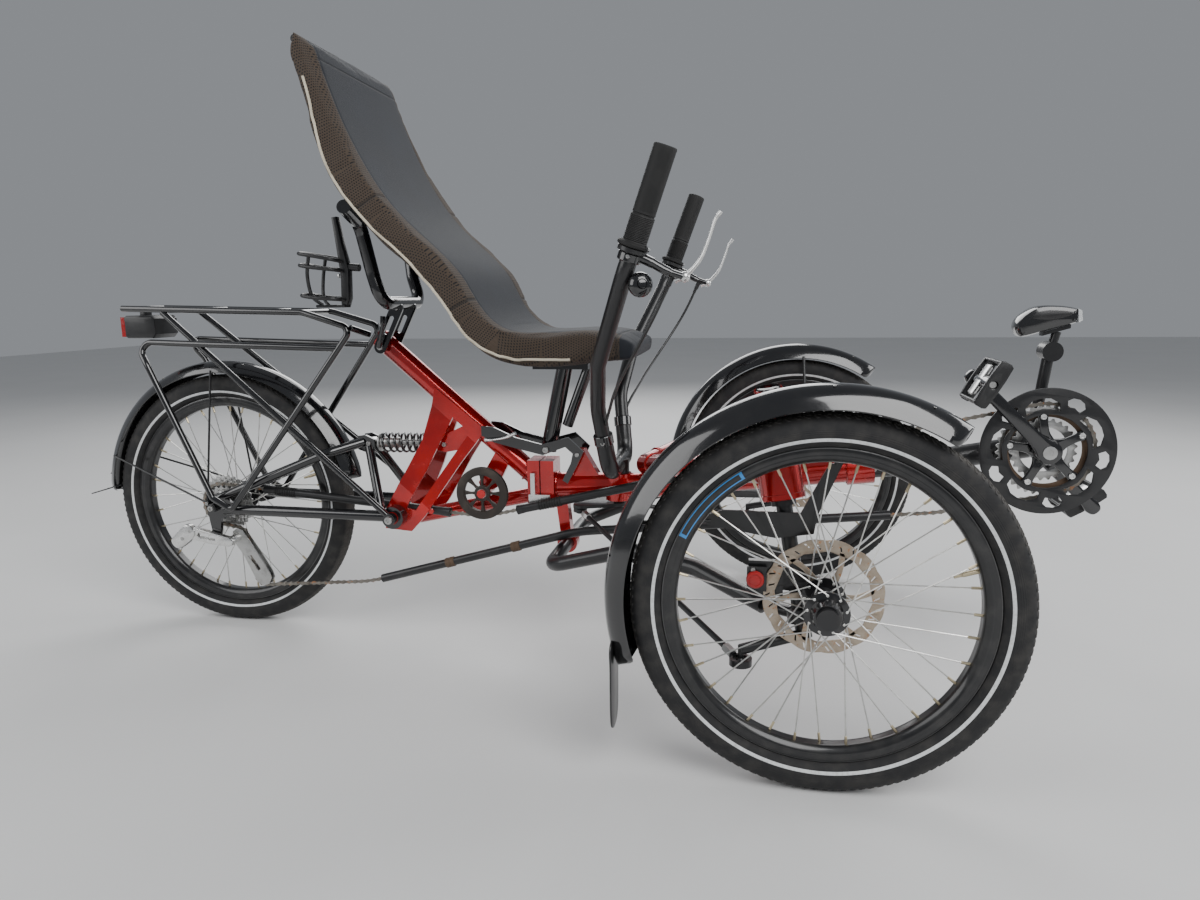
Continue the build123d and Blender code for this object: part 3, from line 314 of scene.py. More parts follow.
@dataclass(frozen=True)
class Plastic:
    """Moulded plastic or rubber with a fine grain, paler where it is worn."""

    name: str
    colour: Place
    worn: Place
    roughness: float
    grain: float = 1400.0
    depth: float = 0.00008
    coat: float = 0.0

    def build(self) -> Material:
        """Returns the material."""
        g = Graph(self.name)
        patch = g.noise(34, 6)
        colour = g.mix(patch.ramp(0.45, 0.8), self.colour, self.worn)
        pebble = g.cells(self.grain)
        rough = self.roughness + patch * 0.14
        return g.finish(
            Base_Color=colour, Roughness=rough, Normal=g.bump(pebble, self.depth, 0.6),
            Coat_Weight=self.coat, Coat_Roughness=0.12,
        )


@dataclass(frozen=True)
class TyreRubber:
    """Tyre rubber about one wheel: pale ring on the side walls, fine cords, dust on the tread."""

    name: str
    centre: Vector
    ring_r: float = 0.2206
    ring_half: float = 0.0019

    def build(self) -> Material:
        """Returns the material."""
        g = Graph(self.name)
        x, _, z = g.parts(g.moved(self.centre))
        radius = (x * x + z * z).maths("SQRT")
        turn = z.maths("ARCTAN2", x)
        dusty = g.noise(55, 6)
        black = g.mix(dusty.ramp(0.35, 0.8), (0.011, 0.011, 0.012), (0.034, 0.032, 0.03))
        trodden = radius.ramp(0.246, 0.2515) * (0.35 + dusty * 0.5)
        colour = g.mix(trodden, black, (0.085, 0.079, 0.071))
        ring = radius.peak(self.ring_r, self.ring_half, 0.0005)
        grimy = g.noise(240, 5).ramp(0.35, 0.85)
        pale = g.mix(grimy * 0.55, (0.74, 0.76, 0.77), (0.4, 0.39, 0.36))
        colour = g.mix(ring * 0.94, colour, pale)
        cords = (turn * 260 + radius * 900).maths("SINE")
        steps = (radius * 2400).maths("SINE") * radius.peak(0.2300, 0.0035, 0.001)
        relief = cords * 0.12 * (1 - ring) + steps * 0.5 + ring * 0.5 + g.noise(1500, 2) * 0.3
        rough = 0.72 - ring * 0.28 + dusty * 0.12
        return g.finish(Base_Color=colour, Roughness=rough, Normal=g.bump(relief, 0.0004, 0.55))


@dataclass(frozen=True)
class RimPaint:
    """Black rim about one wheel, darker and paler in patches, with a painted highlight as a grey ring along
    its lip, and a plain blue arc where it has one.
    """

    name: str
    centre: Vector
    arc: tuple[float, float] | None = None

    def build(self) -> Material:
        """Returns the material."""
        g = Graph(self.name)
        x, y, z = g.parts(g.moved(self.centre))
        radius = (x * x + z * z).maths("SQRT")
        patch = g.noise(40, 5)
        colour = g.mix(patch.ramp(0.4, 0.8), (0.009, 0.009, 0.01), (0.03, 0.029, 0.028))
        # Painted highlight: a grey ring along the rim's lip, paler than the black paint.
        edge = radius.peak(0.2093, 0.0006, 0.0005)
        colour = g.mix(edge * 0.5, colour, (0.2, 0.2, 0.2))
        if self.arc:
            turn = z.maths("ARCTAN2", x)
            first, last = self.arc
            middle, half = (first + last) / 2, (last - first) / 2
            span = turn.peak(middle, half, 0.006)
            border = (radius.peak(0.2072, 0.0006, 0.0003) + radius.peak(0.1985, 0.0006, 0.0003)).clamped()
            ends = span * (1 - turn.peak(middle, half - 0.02, 0.004))
            inside = radius.peak(0.2028, 0.0045, 0.0003)
            blue = ((border + ends * inside) * span * (y < 0.0)).clamped()
            colour = g.mix(blue, colour, (0.035, 0.25, 0.62))
        rings = (radius * 9000).maths("SINE")
        return g.finish(
            Base_Color=colour, Roughness=0.26 + patch * 0.16, Metallic=0.35,
            Coat_Weight=0.6, Coat_Roughness=0.1, Normal=g.bump(rings, 0.00003, 0.3),
        )


@dataclass(frozen=True)
class SeatCloth:
    """Seat fabric: a smooth blue-black net in the middle and a coarse brown-black net on the bolsters."""

    name: str = "seat_cloth"

    def build(self) -> Material:
        """Returns the material. It reads the cover's own map and its zone and seam attributes."""
        g = Graph(self.name)
        flat = g.node("ShaderNodeTexCoord", {}, {}, "UV")
        zone = g.node("ShaderNodeAttribute", {"attribute_name": "zone"}, {}, "Fac")
        seam = g.node("ShaderNodeAttribute", {"attribute_name": "seam"}, {}, "Fac")
        u, v, _ = g.parts(flat)
        bolster = zone.ramp(0.45, 0.55)
        # Honeycomb of the bolsters: cells 5 mm apart, rows shifted by half
        row = (u / 0.0043).maths("FLOOR")
        shift = row.maths("MODULO", 2.0) * 0.5
        cell_u = (u / 0.0043).maths("FRACT") - 0.5
        cell_v = (v / 0.005 + shift).maths("FRACT") - 0.5
        hole = (cell_u * cell_u + cell_v * cell_v).maths("SQRT")
        open_cell = 1 - hole.ramp(0.2, 0.34)
        thread = g.noise(1, 2, g.join(u * 1500, v * 1500, 0.0))
        brown = g.mix(thread, (0.022, 0.016, 0.012), (0.1, 0.07, 0.048))
        coarse = g.mix(open_cell, brown, (0.006, 0.006, 0.007))
        # Fine net of the panel: threads 1.6 mm apart both ways
        warp = (u * (2 * pi / 0.0016)).maths("SINE")
        weft = (v * (2 * pi / 0.0016)).maths("SINE")
        net = (warp * weft * 0.5 + 0.5).clamped()
        wear = g.noise(7, 5)
        blue = g.mix(net, (0.002, 0.003, 0.005), (0.009, 0.013, 0.022))
        blue = g.mix(wear.ramp(0.45, 0.8) * 0.5, blue, (0.016, 0.021, 0.032))
        colour = g.mix(bolster, blue, coarse)
        trim = zone.peak(0.5, 0.045, 0.01)
        colour = g.mix(trim * 0.9, colour, (0.01, 0.01, 0.012))
        # Painted shade: the seams' valleys darkened almost to black.
        colour = g.mix(seam * 0.85, colour, (0.008, 0.008, 0.009))
        stitch = ((u * (2 * pi / 0.0045)).maths("SINE") > 0.1) * zone.peak(0.5, 0.01, 0.004)
        colour = g.mix(stitch * 0.6, colour, (0.09, 0.09, 0.1))
        relief = (1 - open_cell) * bolster + net * 0.12 * (1 - bolster) + trim * 0.6 - seam * 0.7
        rough = 0.88 - (1 - bolster) * 0.1 + wear * 0.08
        bent = g.bump(relief, 0.0009, 0.8)
        return g.finish(
            Base_Color=colour, Roughness=rough, Normal=bent, Sheen_Weight=0.06, Sheen_Roughness=0.5,
        )


@dataclass(frozen=True)
class Lens:
    """Coloured or clear lens with moulded prisms, their facets made paler by a painted highlight."""

    name: str
    colour: Place
    prism_highlight: Place
    prism: float = 420.0

    def build(self) -> Material:
        """Returns the material."""
        g = Graph(self.name)
        _, y, z = g.parts(g.place)
        ribs = (y * (self.prism * 2 * pi)).maths("SINE") * (z * (self.prism * 2 * pi)).maths("SINE")
        # Painted highlight: the prisms' facets paler in the base colour.
        tint = g.mix(ribs.ramp(-0.6, 0.8), self.colour, self.prism_highlight)
        return g.finish(
            Base_Color=tint, Roughness=0.08, Coat_Weight=1.0, Coat_Roughness=0.03,
            Transmission_Weight=0.35, IOR=1.49, Normal=g.bump(ribs, 0.0004, 0.5),
        )


@dataclass(frozen=True)
class Pavement:
    """Pale studio floor with a faint mottling."""

    name: str = "studio_floor"

    def build(self) -> Material:
        """Returns the material."""
        g = Graph(self.name)
        patch = g.noise(2.2, 5)
        colour = g.mix(patch, (0.66, 0.66, 0.655), (0.72, 0.72, 0.715))
        return g.finish(Base_Color=colour, Roughness=0.75, Normal=g.bump(g.noise(240, 3), 0.0006, 0.2))


class Finish(Enum):
    """The trike's finishes by the names of the record's material slots."""

    CANDY_RED = Lacquer("candy_red", (0.62, 0.006, 0.004), (0.30, 0.002, 0.002), 0.55, 0.18, 0.5)
    BLACK_GLOSS = Lacquer("black_gloss", (0.006, 0.006, 0.007), (0.002, 0.002, 0.003), 0.0, 0.12, 0.0, 0.012)
    BLACK_MATTE = Lacquer(
        "black_matte", (0.009, 0.009, 0.01), (0.004, 0.004, 0.005), 0.0, 0.34, 0.0, 0.02, 0.3,
    )
    SPOKE_STEEL = Metal("spoke_steel", (0.72, 0.72, 0.70), (0.42, 0.40, 0.37), 0.2)
    HUB_METAL = Lacquer("hub_metal", (0.018, 0.018, 0.02), (0.008, 0.008, 0.009), 0.6, 0.26, 0.0, 0.06)
    ROTOR_STEEL = Metal("rotor_steel", (0.5, 0.43, 0.35), (0.34, 0.24, 0.16), 0.3, (900, 60, 900), 0.12)
    STEEL = Metal("steel", (0.55, 0.55, 0.54), (0.3, 0.29, 0.28), 0.28)
    CHAIN_STEEL = Metal("chain_steel", (0.3, 0.28, 0.25), (0.12, 0.1, 0.08), 0.38, (60, 900, 60), 0.12)
    IDLER_PLASTIC = Plastic("idler_plastic", (0.024, 0.018, 0.014), (0.055, 0.042, 0.032), 0.4, 900)
    SILVER = Metal("silver", (0.82, 0.82, 0.81), (0.6, 0.59, 0.57), 0.18, (200, 200, 1500))
    BLACK_PLASTIC = Plastic(
        "black_plastic", (0.008, 0.008, 0.009), (0.018, 0.018, 0.018), 0.36, 1500, 0.00006, 0.25,
    )
    RUBBER = Plastic("rubber", (0.006, 0.006, 0.006), (0.014, 0.0135, 0.013), 0.6, 1100, 0.00012)
    SEAT_FABRIC = SeatCloth()
    RED_LENS = Lens("red_lens", (0.32, 0.004, 0.004), (0.72, 0.012, 0.01))
    CLEAR_LENS = Lens("clear_lens", (0.75, 0.77, 0.78), (0.92, 0.93, 0.94))
    PIPING = Plastic("piping", (0.62, 0.56, 0.44), (0.42, 0.37, 0.28), 0.6, 2400, 0.0001)
    SMOKED = Plastic("smoked_flap", (0.012, 0.012, 0.013), (0.03, 0.03, 0.03), 0.3, 500, 0.00002, 0.3)
    RED_KNOB = Plastic("red_knob", (0.38, 0.008, 0.008), (0.22, 0.006, 0.006), 0.38, 1500, 0.00005, 0.3)
    BRASS = Metal("nipple_brass", (0.6, 0.52, 0.36), (0.4, 0.33, 0.22), 0.3)
    CABLE = Plastic("cable_sleeve", (0.01, 0.01, 0.01), (0.022, 0.022, 0.022), 0.36, 1800, 0.00004, 0.4)
    STRAP = Plastic("brown_strap", (0.085, 0.05, 0.028), (0.14, 0.09, 0.055), 0.6, 900, 0.0001)

    def material(self) -> Material:
        """The finish's material, built when first asked for."""
        found = bpy.data.materials.get(self.value.name + "_finish")
        return found or self.value.build()


WHEELS = {
    "rear": at(0, 0, AXLE_Z),
    "right": at(WHEELBASE, -HALF_TRACK, AXLE_Z),
    "left": at(WHEELBASE, HALF_TRACK, AXLE_Z),
}
SLOTS = {finish.value.name: finish for finish in Finish}


# Meshes


def smooth_line(points: Sequence[Vector], steps: int = 8, closed: bool = False) -> list[Vector]:
    """A smooth line through places.

    Args:
        points: the places it goes through.
        steps: pieces between two of them.
        closed: whether its end joins its start.

    Returns:
        The line's points.
    """
    line = []
    count = len(points)
    spans = count if closed else count - 1
    for number in range(spans):
        if closed:
            before, start, end, after = (points[(number + k) % count] for k in (-1, 0, 1, 2))
        else:
            start, end = points[number], points[number + 1]
            before = points[number - 1] if number else start * 2 - end
            after = points[number + 2] if number + 2 < count else end * 2 - start
        for step in range(steps):
            t = step / steps
            line.append(
                0.5 * (2 * start + (end - before) * t + (2 * before - 5 * start + 4 * end - after) * t * t
                + (3 * start - before - 3 * end + after) * t ** 3)
            )
    if not closed:
        line.append(points[-1].copy())
    return line


class Shape:
    """One piece's mesh while it is made, in scene places."""

    def __init__(self) -> None:
        """Starts empty."""
        self.mesh = bmesh.new()

    def skin(self, rows: list[list[Vector]], round_: bool, closed: bool, capped: bool) -> None:
        """Joins rows of points by faces.

        Args:
            rows: equal rows of places.
            round_: whether each row's end joins its start.
            closed: whether the last row joins the first.
            capped: whether the first and last rows are filled.
        """
        made = [[self.mesh.verts.new(place) for place in row] for row in rows]
        wide = len(rows[0])
        for number in range(len(made) if closed else len(made) - 1):
            near, far = made[number], made[(number + 1) % len(made)]
            for k in range(wide if round_ else wide - 1):
                corners = (near[k], near[(k + 1) % wide], far[(k + 1) % wide], far[k])
                self.mesh.faces.new(corners)
        if capped:
            self.mesh.faces.new(made[0])
            self.mesh.faces.new(list(reversed(made[-1])))

    def lathe(
        self, centre: Vector, along: Vector, outline: Sequence[Flat], steps: int,
        closed: bool = True, first: Vector = AHEAD,
    ) -> None:
        """Turns an outline about an axis.

        Args:
            centre: where the axis is measured from.
            along: the axis.
            outline: (along the axis, from the axis) in millimetres.
            steps: pieces round the axis.
            closed: whether the outline's end joins its start.
            first: the direction of angle 0.
        """
        along = along.normalized()
        out = (first - along * first.dot(along)).normalized()
        side = out.cross(along)
        rows = []
        for step in range(steps):
            turn = radians(360.0 * step / steps)
            ray = out * cos(turn) + side * sin(turn)
            rows.append([centre + (along * u + ray * v) * MM for u, v in outline])
        self.skin(rows, closed, True, False)

    def tube(
        self, points: Sequence[Vector], radius: float | Sequence[float], sides: int = 14,
        closed: bool = False, flat: float = 1.0,
    ) -> None:
        """A round or flattened tube along a line.

        Args:
            points: the line.
            radius: in millimetres, one or one for each point.
            sides: faces round it.
            closed: whether it is a ring.
            flat: height over width.
        """
        count = len(points)
        radii = [radius] * count if isinstance(radius, (int, float)) else list(radius)
        out = None
        rows = []
        for number, place in enumerate(points):
            after = points[(number + 1) % count] if closed or number < count - 1 else place
            before = points[number - 1] if closed or number else place
            along = (after - before).normalized()
            if out is None:
                out = along.orthogonal().normalized() if abs(along.z) > 0.95 else along.cross(UP)
            out = (out - along * out.dot(along)).normalized()
            side = along.cross(out)
            reach = radii[number] * MM
            turns = [2 * pi * k / sides for k in range(sides)]
            rows.append([place + (out * cos(t) + side * sin(t) * flat) * reach for t in turns])
        self.skin(rows, True, closed, not closed)

    def rod(self, start: Vector, end: Vector, radius: float, sides: int = 16, bevel: float = 0.8) -> None:
        """A round bar with softened ends, its radius and bevel in millimetres."""
        length = (end - start).length / MM
        soft = min(bevel, radius * 0.6, length * 0.4)
        outline = [
            (0, 0), (0, radius - soft), (soft, radius), (length - soft, radius), (length, radius - soft),
            (length, 0),
        ]
        self.lathe(start, end - start, outline, sides, closed=False, first=(end - start).orthogonal())

    def plate(
        self, outlines: Sequence[Sequence[Flat]], frame_: Matrix, thickness: float, bevel: float = 0.6,
        smooth: bool = False,
    ) -> None:
        """A flat plate with softened edges.

        Args:
            outlines: the rim and then the holes, in millimetres.
            frame_: the matrix that takes the drawing to its place.
            thickness: in millimetres, towards the matrix's third axis.
            bevel: the softened edge.
            smooth: whether the outlines are smooth curves through their points.
        """
        curve = bpy.data.curves.new("drawing", "CURVE")
        curve.dimensions = "2D"
        curve.fill_mode = "BOTH"
        curve.extrude = (thickness / 2 - bevel) * MM
        curve.bevel_depth = bevel * MM
        curve.bevel_resolution = 1
        curve.offset = -bevel * MM
        for outline in outlines:
            if smooth:
                flat = [Vector((u, v, 0)) for u, v in outline]
                outline = [(w.x, w.y) for w in smooth_line(flat, 6, True)]
            spline = curve.splines.new("POLY")
            spline.points.add(len(outline) - 1)
            for point, (u, v) in zip(spline.points, outline):
                point.co = (u * MM, v * MM, 0, 1)
            spline.use_cyclic_u = True
        carrier = bpy.data.objects.new("drawing", curve)
        flat_mesh = bpy.data.meshes.new_from_object(carrier)
        flat_mesh.transform(frame_ @ Matrix.Translation((0, 0, thickness / 2 * MM)))
        self.mesh.from_mesh(flat_mesh)
        bpy.data.objects.remove(carrier)
        bpy.data.curves.remove(curve)
        bpy.data.meshes.remove(flat_mesh)

    def ball(self, centre: Vector, radius: float, sides: int = 16) -> None:
        """A ball, its radius in millimetres."""
        turns = [pi * k / (sides // 2) for k in range(sides // 2 + 1)]
        outline = [(-radius * cos(t), radius * sin(t)) for t in turns]
        self.lathe(centre, UP, outline, sides, closed=False)

    def harden(self, name: str, sharp: float) -> Piece:
        """Ends the mesh as an object.

        Args:
            name: the object's name.
            sharp: edges that turn by more degrees stay sharp.

        Returns:
            The object.
        """
        bmesh.ops.remove_doubles(self.mesh, verts=self.mesh.verts, dist=2e-6)
        bmesh.ops.recalc_face_normals(self.mesh, faces=self.mesh.faces)
        limit = radians(sharp)
        for edge in self.mesh.edges:
            edge.smooth = len(edge.link_faces) == 2 and edge.calc_face_angle(0) < limit
        for face in self.mesh.faces:
            face.smooth = True
        mesh = bpy.data.meshes.new(name)
        self.mesh.to_mesh(mesh)
        self.mesh.free()
        return linked(name, mesh)

    def done(
        self, name: str, finish: Finish | Material, body: str = "frame",
        stands_for: Sequence[str] = (), sharp: float = 38.0,
    ) -> None:
        """Ends the mesh as a piece of the model.

        Args:
            name: the piece's name.
            finish: its finish or material.
            body: the body that it rides on.
            stands_for: the nodes that it replaces.
            sharp: edges that turn by more degrees stay sharp.
        """
        settle(self.harden(name, sharp), finish, body, stands_for)


def evaluated(piece: Piece) -> bpy.types.Mesh:
    """A new mesh of what a piece's modifiers give."""
    bpy.context.view_layer.update()
    graph = bpy.context.evaluated_depsgraph_get()
    return bpy.data.meshes.new_from_object(piece.evaluated_get(graph))


def linked(name: str, data: bpy.types.ID) -> Piece:
    """A new object in the scene."""
    made = bpy.data.objects.new(name, data)
    bpy.context.collection.objects.link(made)
    return made


def settle(
    piece: Piece, finish: Finish | Material, body: str, stands_for: Sequence[str] = (),
) -> None:
    """Gives a piece its finish and its body.

    Args:
        piece: the object.
        finish: its finish or material.
        body: the body that it rides on.
        stands_for: the nodes that it replaces.
    """
    material = finish.material() if isinstance(finish, Finish) else finish
    piece.data.materials.clear()
    piece.data.materials.append(material)
    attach(piece, body)
    if stands_for:
        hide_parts(*stands_for)
    log.info("%s: %d faces on %s", piece.name, len(piece.data.polygons), body)


def upright(x: float, y: float, z: float, turn: float = 0.0) -> Matrix:
    """The matrix of a drawing in the lengthwise upright plane, forward and up, thick towards the left.

    Args:
        x, y, z: the drawing's origin as a drawing place.
        turn: degrees from forward, upwards.

    Returns:
        The matrix.
    """
    return Matrix.Translation(at(x, y, z)) @ UPRIGHT @ Matrix.Rotation(radians(turn), 4, "Z")


def ring(radius: float, count: int = 48, centre: Flat = (0.0, 0.0)) -> list[Flat]:
    """A circle's points."""
    turns = [2 * pi * k / count for k in range(count)]
    return [(centre[0] + radius * cos(t), centre[1] + radius * sin(t)) for t in turns]


def holes(count: int, reach: float, radius: float, sides: int, shift: float = 0.0) -> list[list[Flat]]:
    """Round holes in a circle, their middles at the reach and turned by a share of their spacing."""
    return [ring(radius, sides, polar(reach, 2 * pi * (k + shift) / count)) for k in range(count)]


def mirrored(half: Sequence[Flat]) -> list[Flat]:
    """An outline from its lower half and that half's mirror image."""
    return [*half, *((u, -v) for u, v in reversed(half) if v)]


def both_ways(half: Sequence[Flat]) -> list[Flat]:
    """A lathe's outline from one half and the same half beyond the middle."""
    return [*half, *((-u, v) for u, v in reversed(half) if u)]


def toothed(radius: float, teeth: int, depth: float) -> list[Flat]:
    """A sprocket's outline: teeth with hollow flanks between root and tip."""
    outline = []
    for tooth in range(teeth):
        for share, reach in (
            (0.0, 0.0), (0.12, 0.04), (0.3, 0.62), (0.42, 1.0), (0.58, 1.0), (0.7, 0.62), (0.88, 0.04),
        ):
            outline.append(polar(radius - depth * (1 - reach), 2 * pi * (tooth + share) / teeth))
    return outline


# Repeats, by geometry nodes


class Repeat(Tree):
    """A geometry node tree that repeats a template, and its use on an object."""

    def __init__(self, name: str, inputs: dict[str, str]) -> None:
        """Args: name: the tree's name. inputs: each input's socket type by its name."""
        tree = bpy.data.node_groups.new(name, "GeometryNodeTree")
        super().__init__(tree)
        faces = tree.interface
        faces.new_socket("Geometry", in_out="INPUT", socket_type="NodeSocketGeometry")
        self.sockets = {}
        for label, kind in inputs.items():
            made = faces.new_socket(label, in_out="INPUT", socket_type=kind)
            self.sockets[label] = made.identifier
        faces.new_socket("Geometry", in_out="OUTPUT", socket_type="NodeSocketGeometry")
        self.entry = tree.nodes.new("NodeGroupInput")
        self.exit = tree.nodes.new("NodeGroupOutput")

    def given(self, label: str) -> Wire:
        """One of the tree's inputs."""
        return Wire(self, self.entry.outputs[label])

    def spread(self, points: Wire, turn: Wire, scale: Wire | float | tuple) -> None:
        """Ends the tree: the template on every point, made real and given its material."""
        template = self.node("GeometryNodeObjectInfo", {}, {"Object": self.given("Template")}, "Geometry")
        placed = self.node(
            "GeometryNodeInstanceOnPoints", {},
            {"Points": points, "Instance": template, "Rotation": turn, "Scale": scale},
        )
        real = self.node("GeometryNodeRealizeInstances", {}, {0: placed})
        dressed = self.node(
            "GeometryNodeSetMaterial", {}, {"Geometry": real, "Material": self.given("Finish")},
        )
        self.tree.links.new(dressed.socket, self.exit.inputs[0])

    def run(self, base: Piece, name: str, values: dict) -> Piece:
        """Runs the tree and keeps its plain mesh.

        Args:
            base: the object whose geometry goes in.
            name: the new object's name.
            values: each input's value by its name.

        Returns:
            A new object with the result.
        """
        modifier = base.modifiers.new("repeat", "NODES")
        modifier.node_group = self.tree
        for label, value in values.items():
            modifier[self.sockets[label]] = value
        base.update_tag()
        mesh = evaluated(base)
        base.modifiers.remove(modifier)
        mesh.name = name
        return linked(name, mesh)


class Repeats:
    """The trees, built once: round an axle, and on the points of a mesh."""

    def __init__(self) -> None:
        """Builds both trees."""
        self.around = self.build_around()
        self.placed = self.build_placed()

    def build_around(self) -> Repeat:
        """The tree that repeats a template round the wheel's axle."""
        kinds = {
            "Template": "NodeSocketObject", "Count": "NodeSocketInt", "Centre": "NodeSocketVector",
            "Finish": "NodeSocketMaterial",
        }
        tree = Repeat("round_the_axle", kinds)
        points = tree.node(
            "GeometryNodePoints", {}, {"Count": tree.given("Count"), "Position": tree.given("Centre")},
        )
        index = tree.node("GeometryNodeInputIndex", {}, {})
        turn = index / tree.given("Count") * (2 * pi)
        tree.spread(points, tree.join(0.0, turn, 0.0), (1.0, 1.0, 1.0))
        return tree

    def build_placed(self) -> Repeat:
        """The tree that puts a template on each point of a mesh, turned and sized by its attributes."""
        kinds = {"Template": "NodeSocketObject", "Finish": "NodeSocketMaterial"}
        tree = Repeat("on_the_points", kinds)
        points = tree.node("GeometryNodeMeshToPoints", {}, {"Mesh": tree.given("Geometry")})
        read = "GeometryNodeInputNamedAttribute"
        turn = tree.node(read, {"data_type": "FLOAT_VECTOR"}, {"Name": "turn"}, "Attribute")
        size = tree.node(read, {"data_type": "FLOAT"}, {"Name": "size"}, "Attribute")
        tree.spread(points, turn, tree.join(size, size, size))
        return tree

    def clear(self, *objects: Piece) -> None:
        """Removes templates and carriers."""
        for item in objects:
            mesh = item.data
            bpy.data.objects.remove(item)
            bpy.data.meshes.remove(mesh)

    def round_axle(
        self, shape: Shape, name: str, count: int, centre: Vector, finish: Finish | Material,
        body: str, slot: str, stands_for: Sequence[str] = (),
    ) -> None:
        """Repeats a shape round an axle.

        Args:
            shape: the template, drawn from the axle at the origin.
            name: the piece's name.
            count: how many.
            centre: the axle's place.
            finish: the finish.
            body: the body that it rides on.
            slot: the record's slot; not used.
            stands_for: the nodes that it replaces.
        """
        template = shape.harden("template", 38)
        carrier = linked("carrier", bpy.data.meshes.new("carrier"))
        material = finish.material() if isinstance(finish, Finish) else finish
        values = {"Template": template, "Count": count, "Centre": tuple(centre), "Finish": material}
        made = self.around.run(carrier, name, values)
        self.clear(template, carrier)
        settle(made, material, body, stands_for)

    def on_points(
        self, shape: Shape, name: str, places: Sequence[tuple[Vector, Vector, float]],
        finish: Finish, body: str = "frame", slot: str = "", stands_for: Sequence[str] = (),
    ) -> None:
        """Repeats a shape on places.

        Args:
            shape: the template, drawn at the origin with its head towards +Z.
            name: the piece's name.
            places: (place, the way its head faces, scale).
            finish: the finish.
            body: the body that it rides on.
            slot: the record's slot, or nothing for the finish's own; not used.
            stands_for: the nodes that it replaces.
        """
        template = shape.harden("template", 38)
        mesh = bpy.data.meshes.new("carrier")
        mesh.from_pydata([tuple(place) for place, _, _ in places], [], [])
        mesh.attributes.new("turn", "FLOAT_VECTOR", "POINT")
        mesh.attributes.new("size", "FLOAT", "POINT")
        turns, sizes = mesh.attributes["turn"], mesh.attributes["size"]
        for number, (_, facing, size) in enumerate(places):
            turns.data[number].vector = facing.to_track_quat("Z", "Y").to_euler()
            sizes.data[number].value = size
        carrier = linked("carrier", mesh)
        made = self.placed.run(carrier, name, {"Template": template, "Finish": finish.material()})
        self.clear(template, carrier)
        settle(made, finish, body, stands_for)


def screw_head(radius: float = 4.0, height: float = 3.0, socket: float = 2.0) -> Shape:
    """A cap screw's head with its hexagon socket, drawn upwards from the origin, in millimetres."""
    shape = Shape()
    outline = [(-0.3, 0), (-0.3, radius), (height * 0.75, radius), (height, radius * 0.85), (height, socket)]
    outline += [(height * 0.4, socket * 0.95), (height * 0.35, 0)]
    shape.lathe(Vector(), UP, outline, 12, closed=False)
    return shape


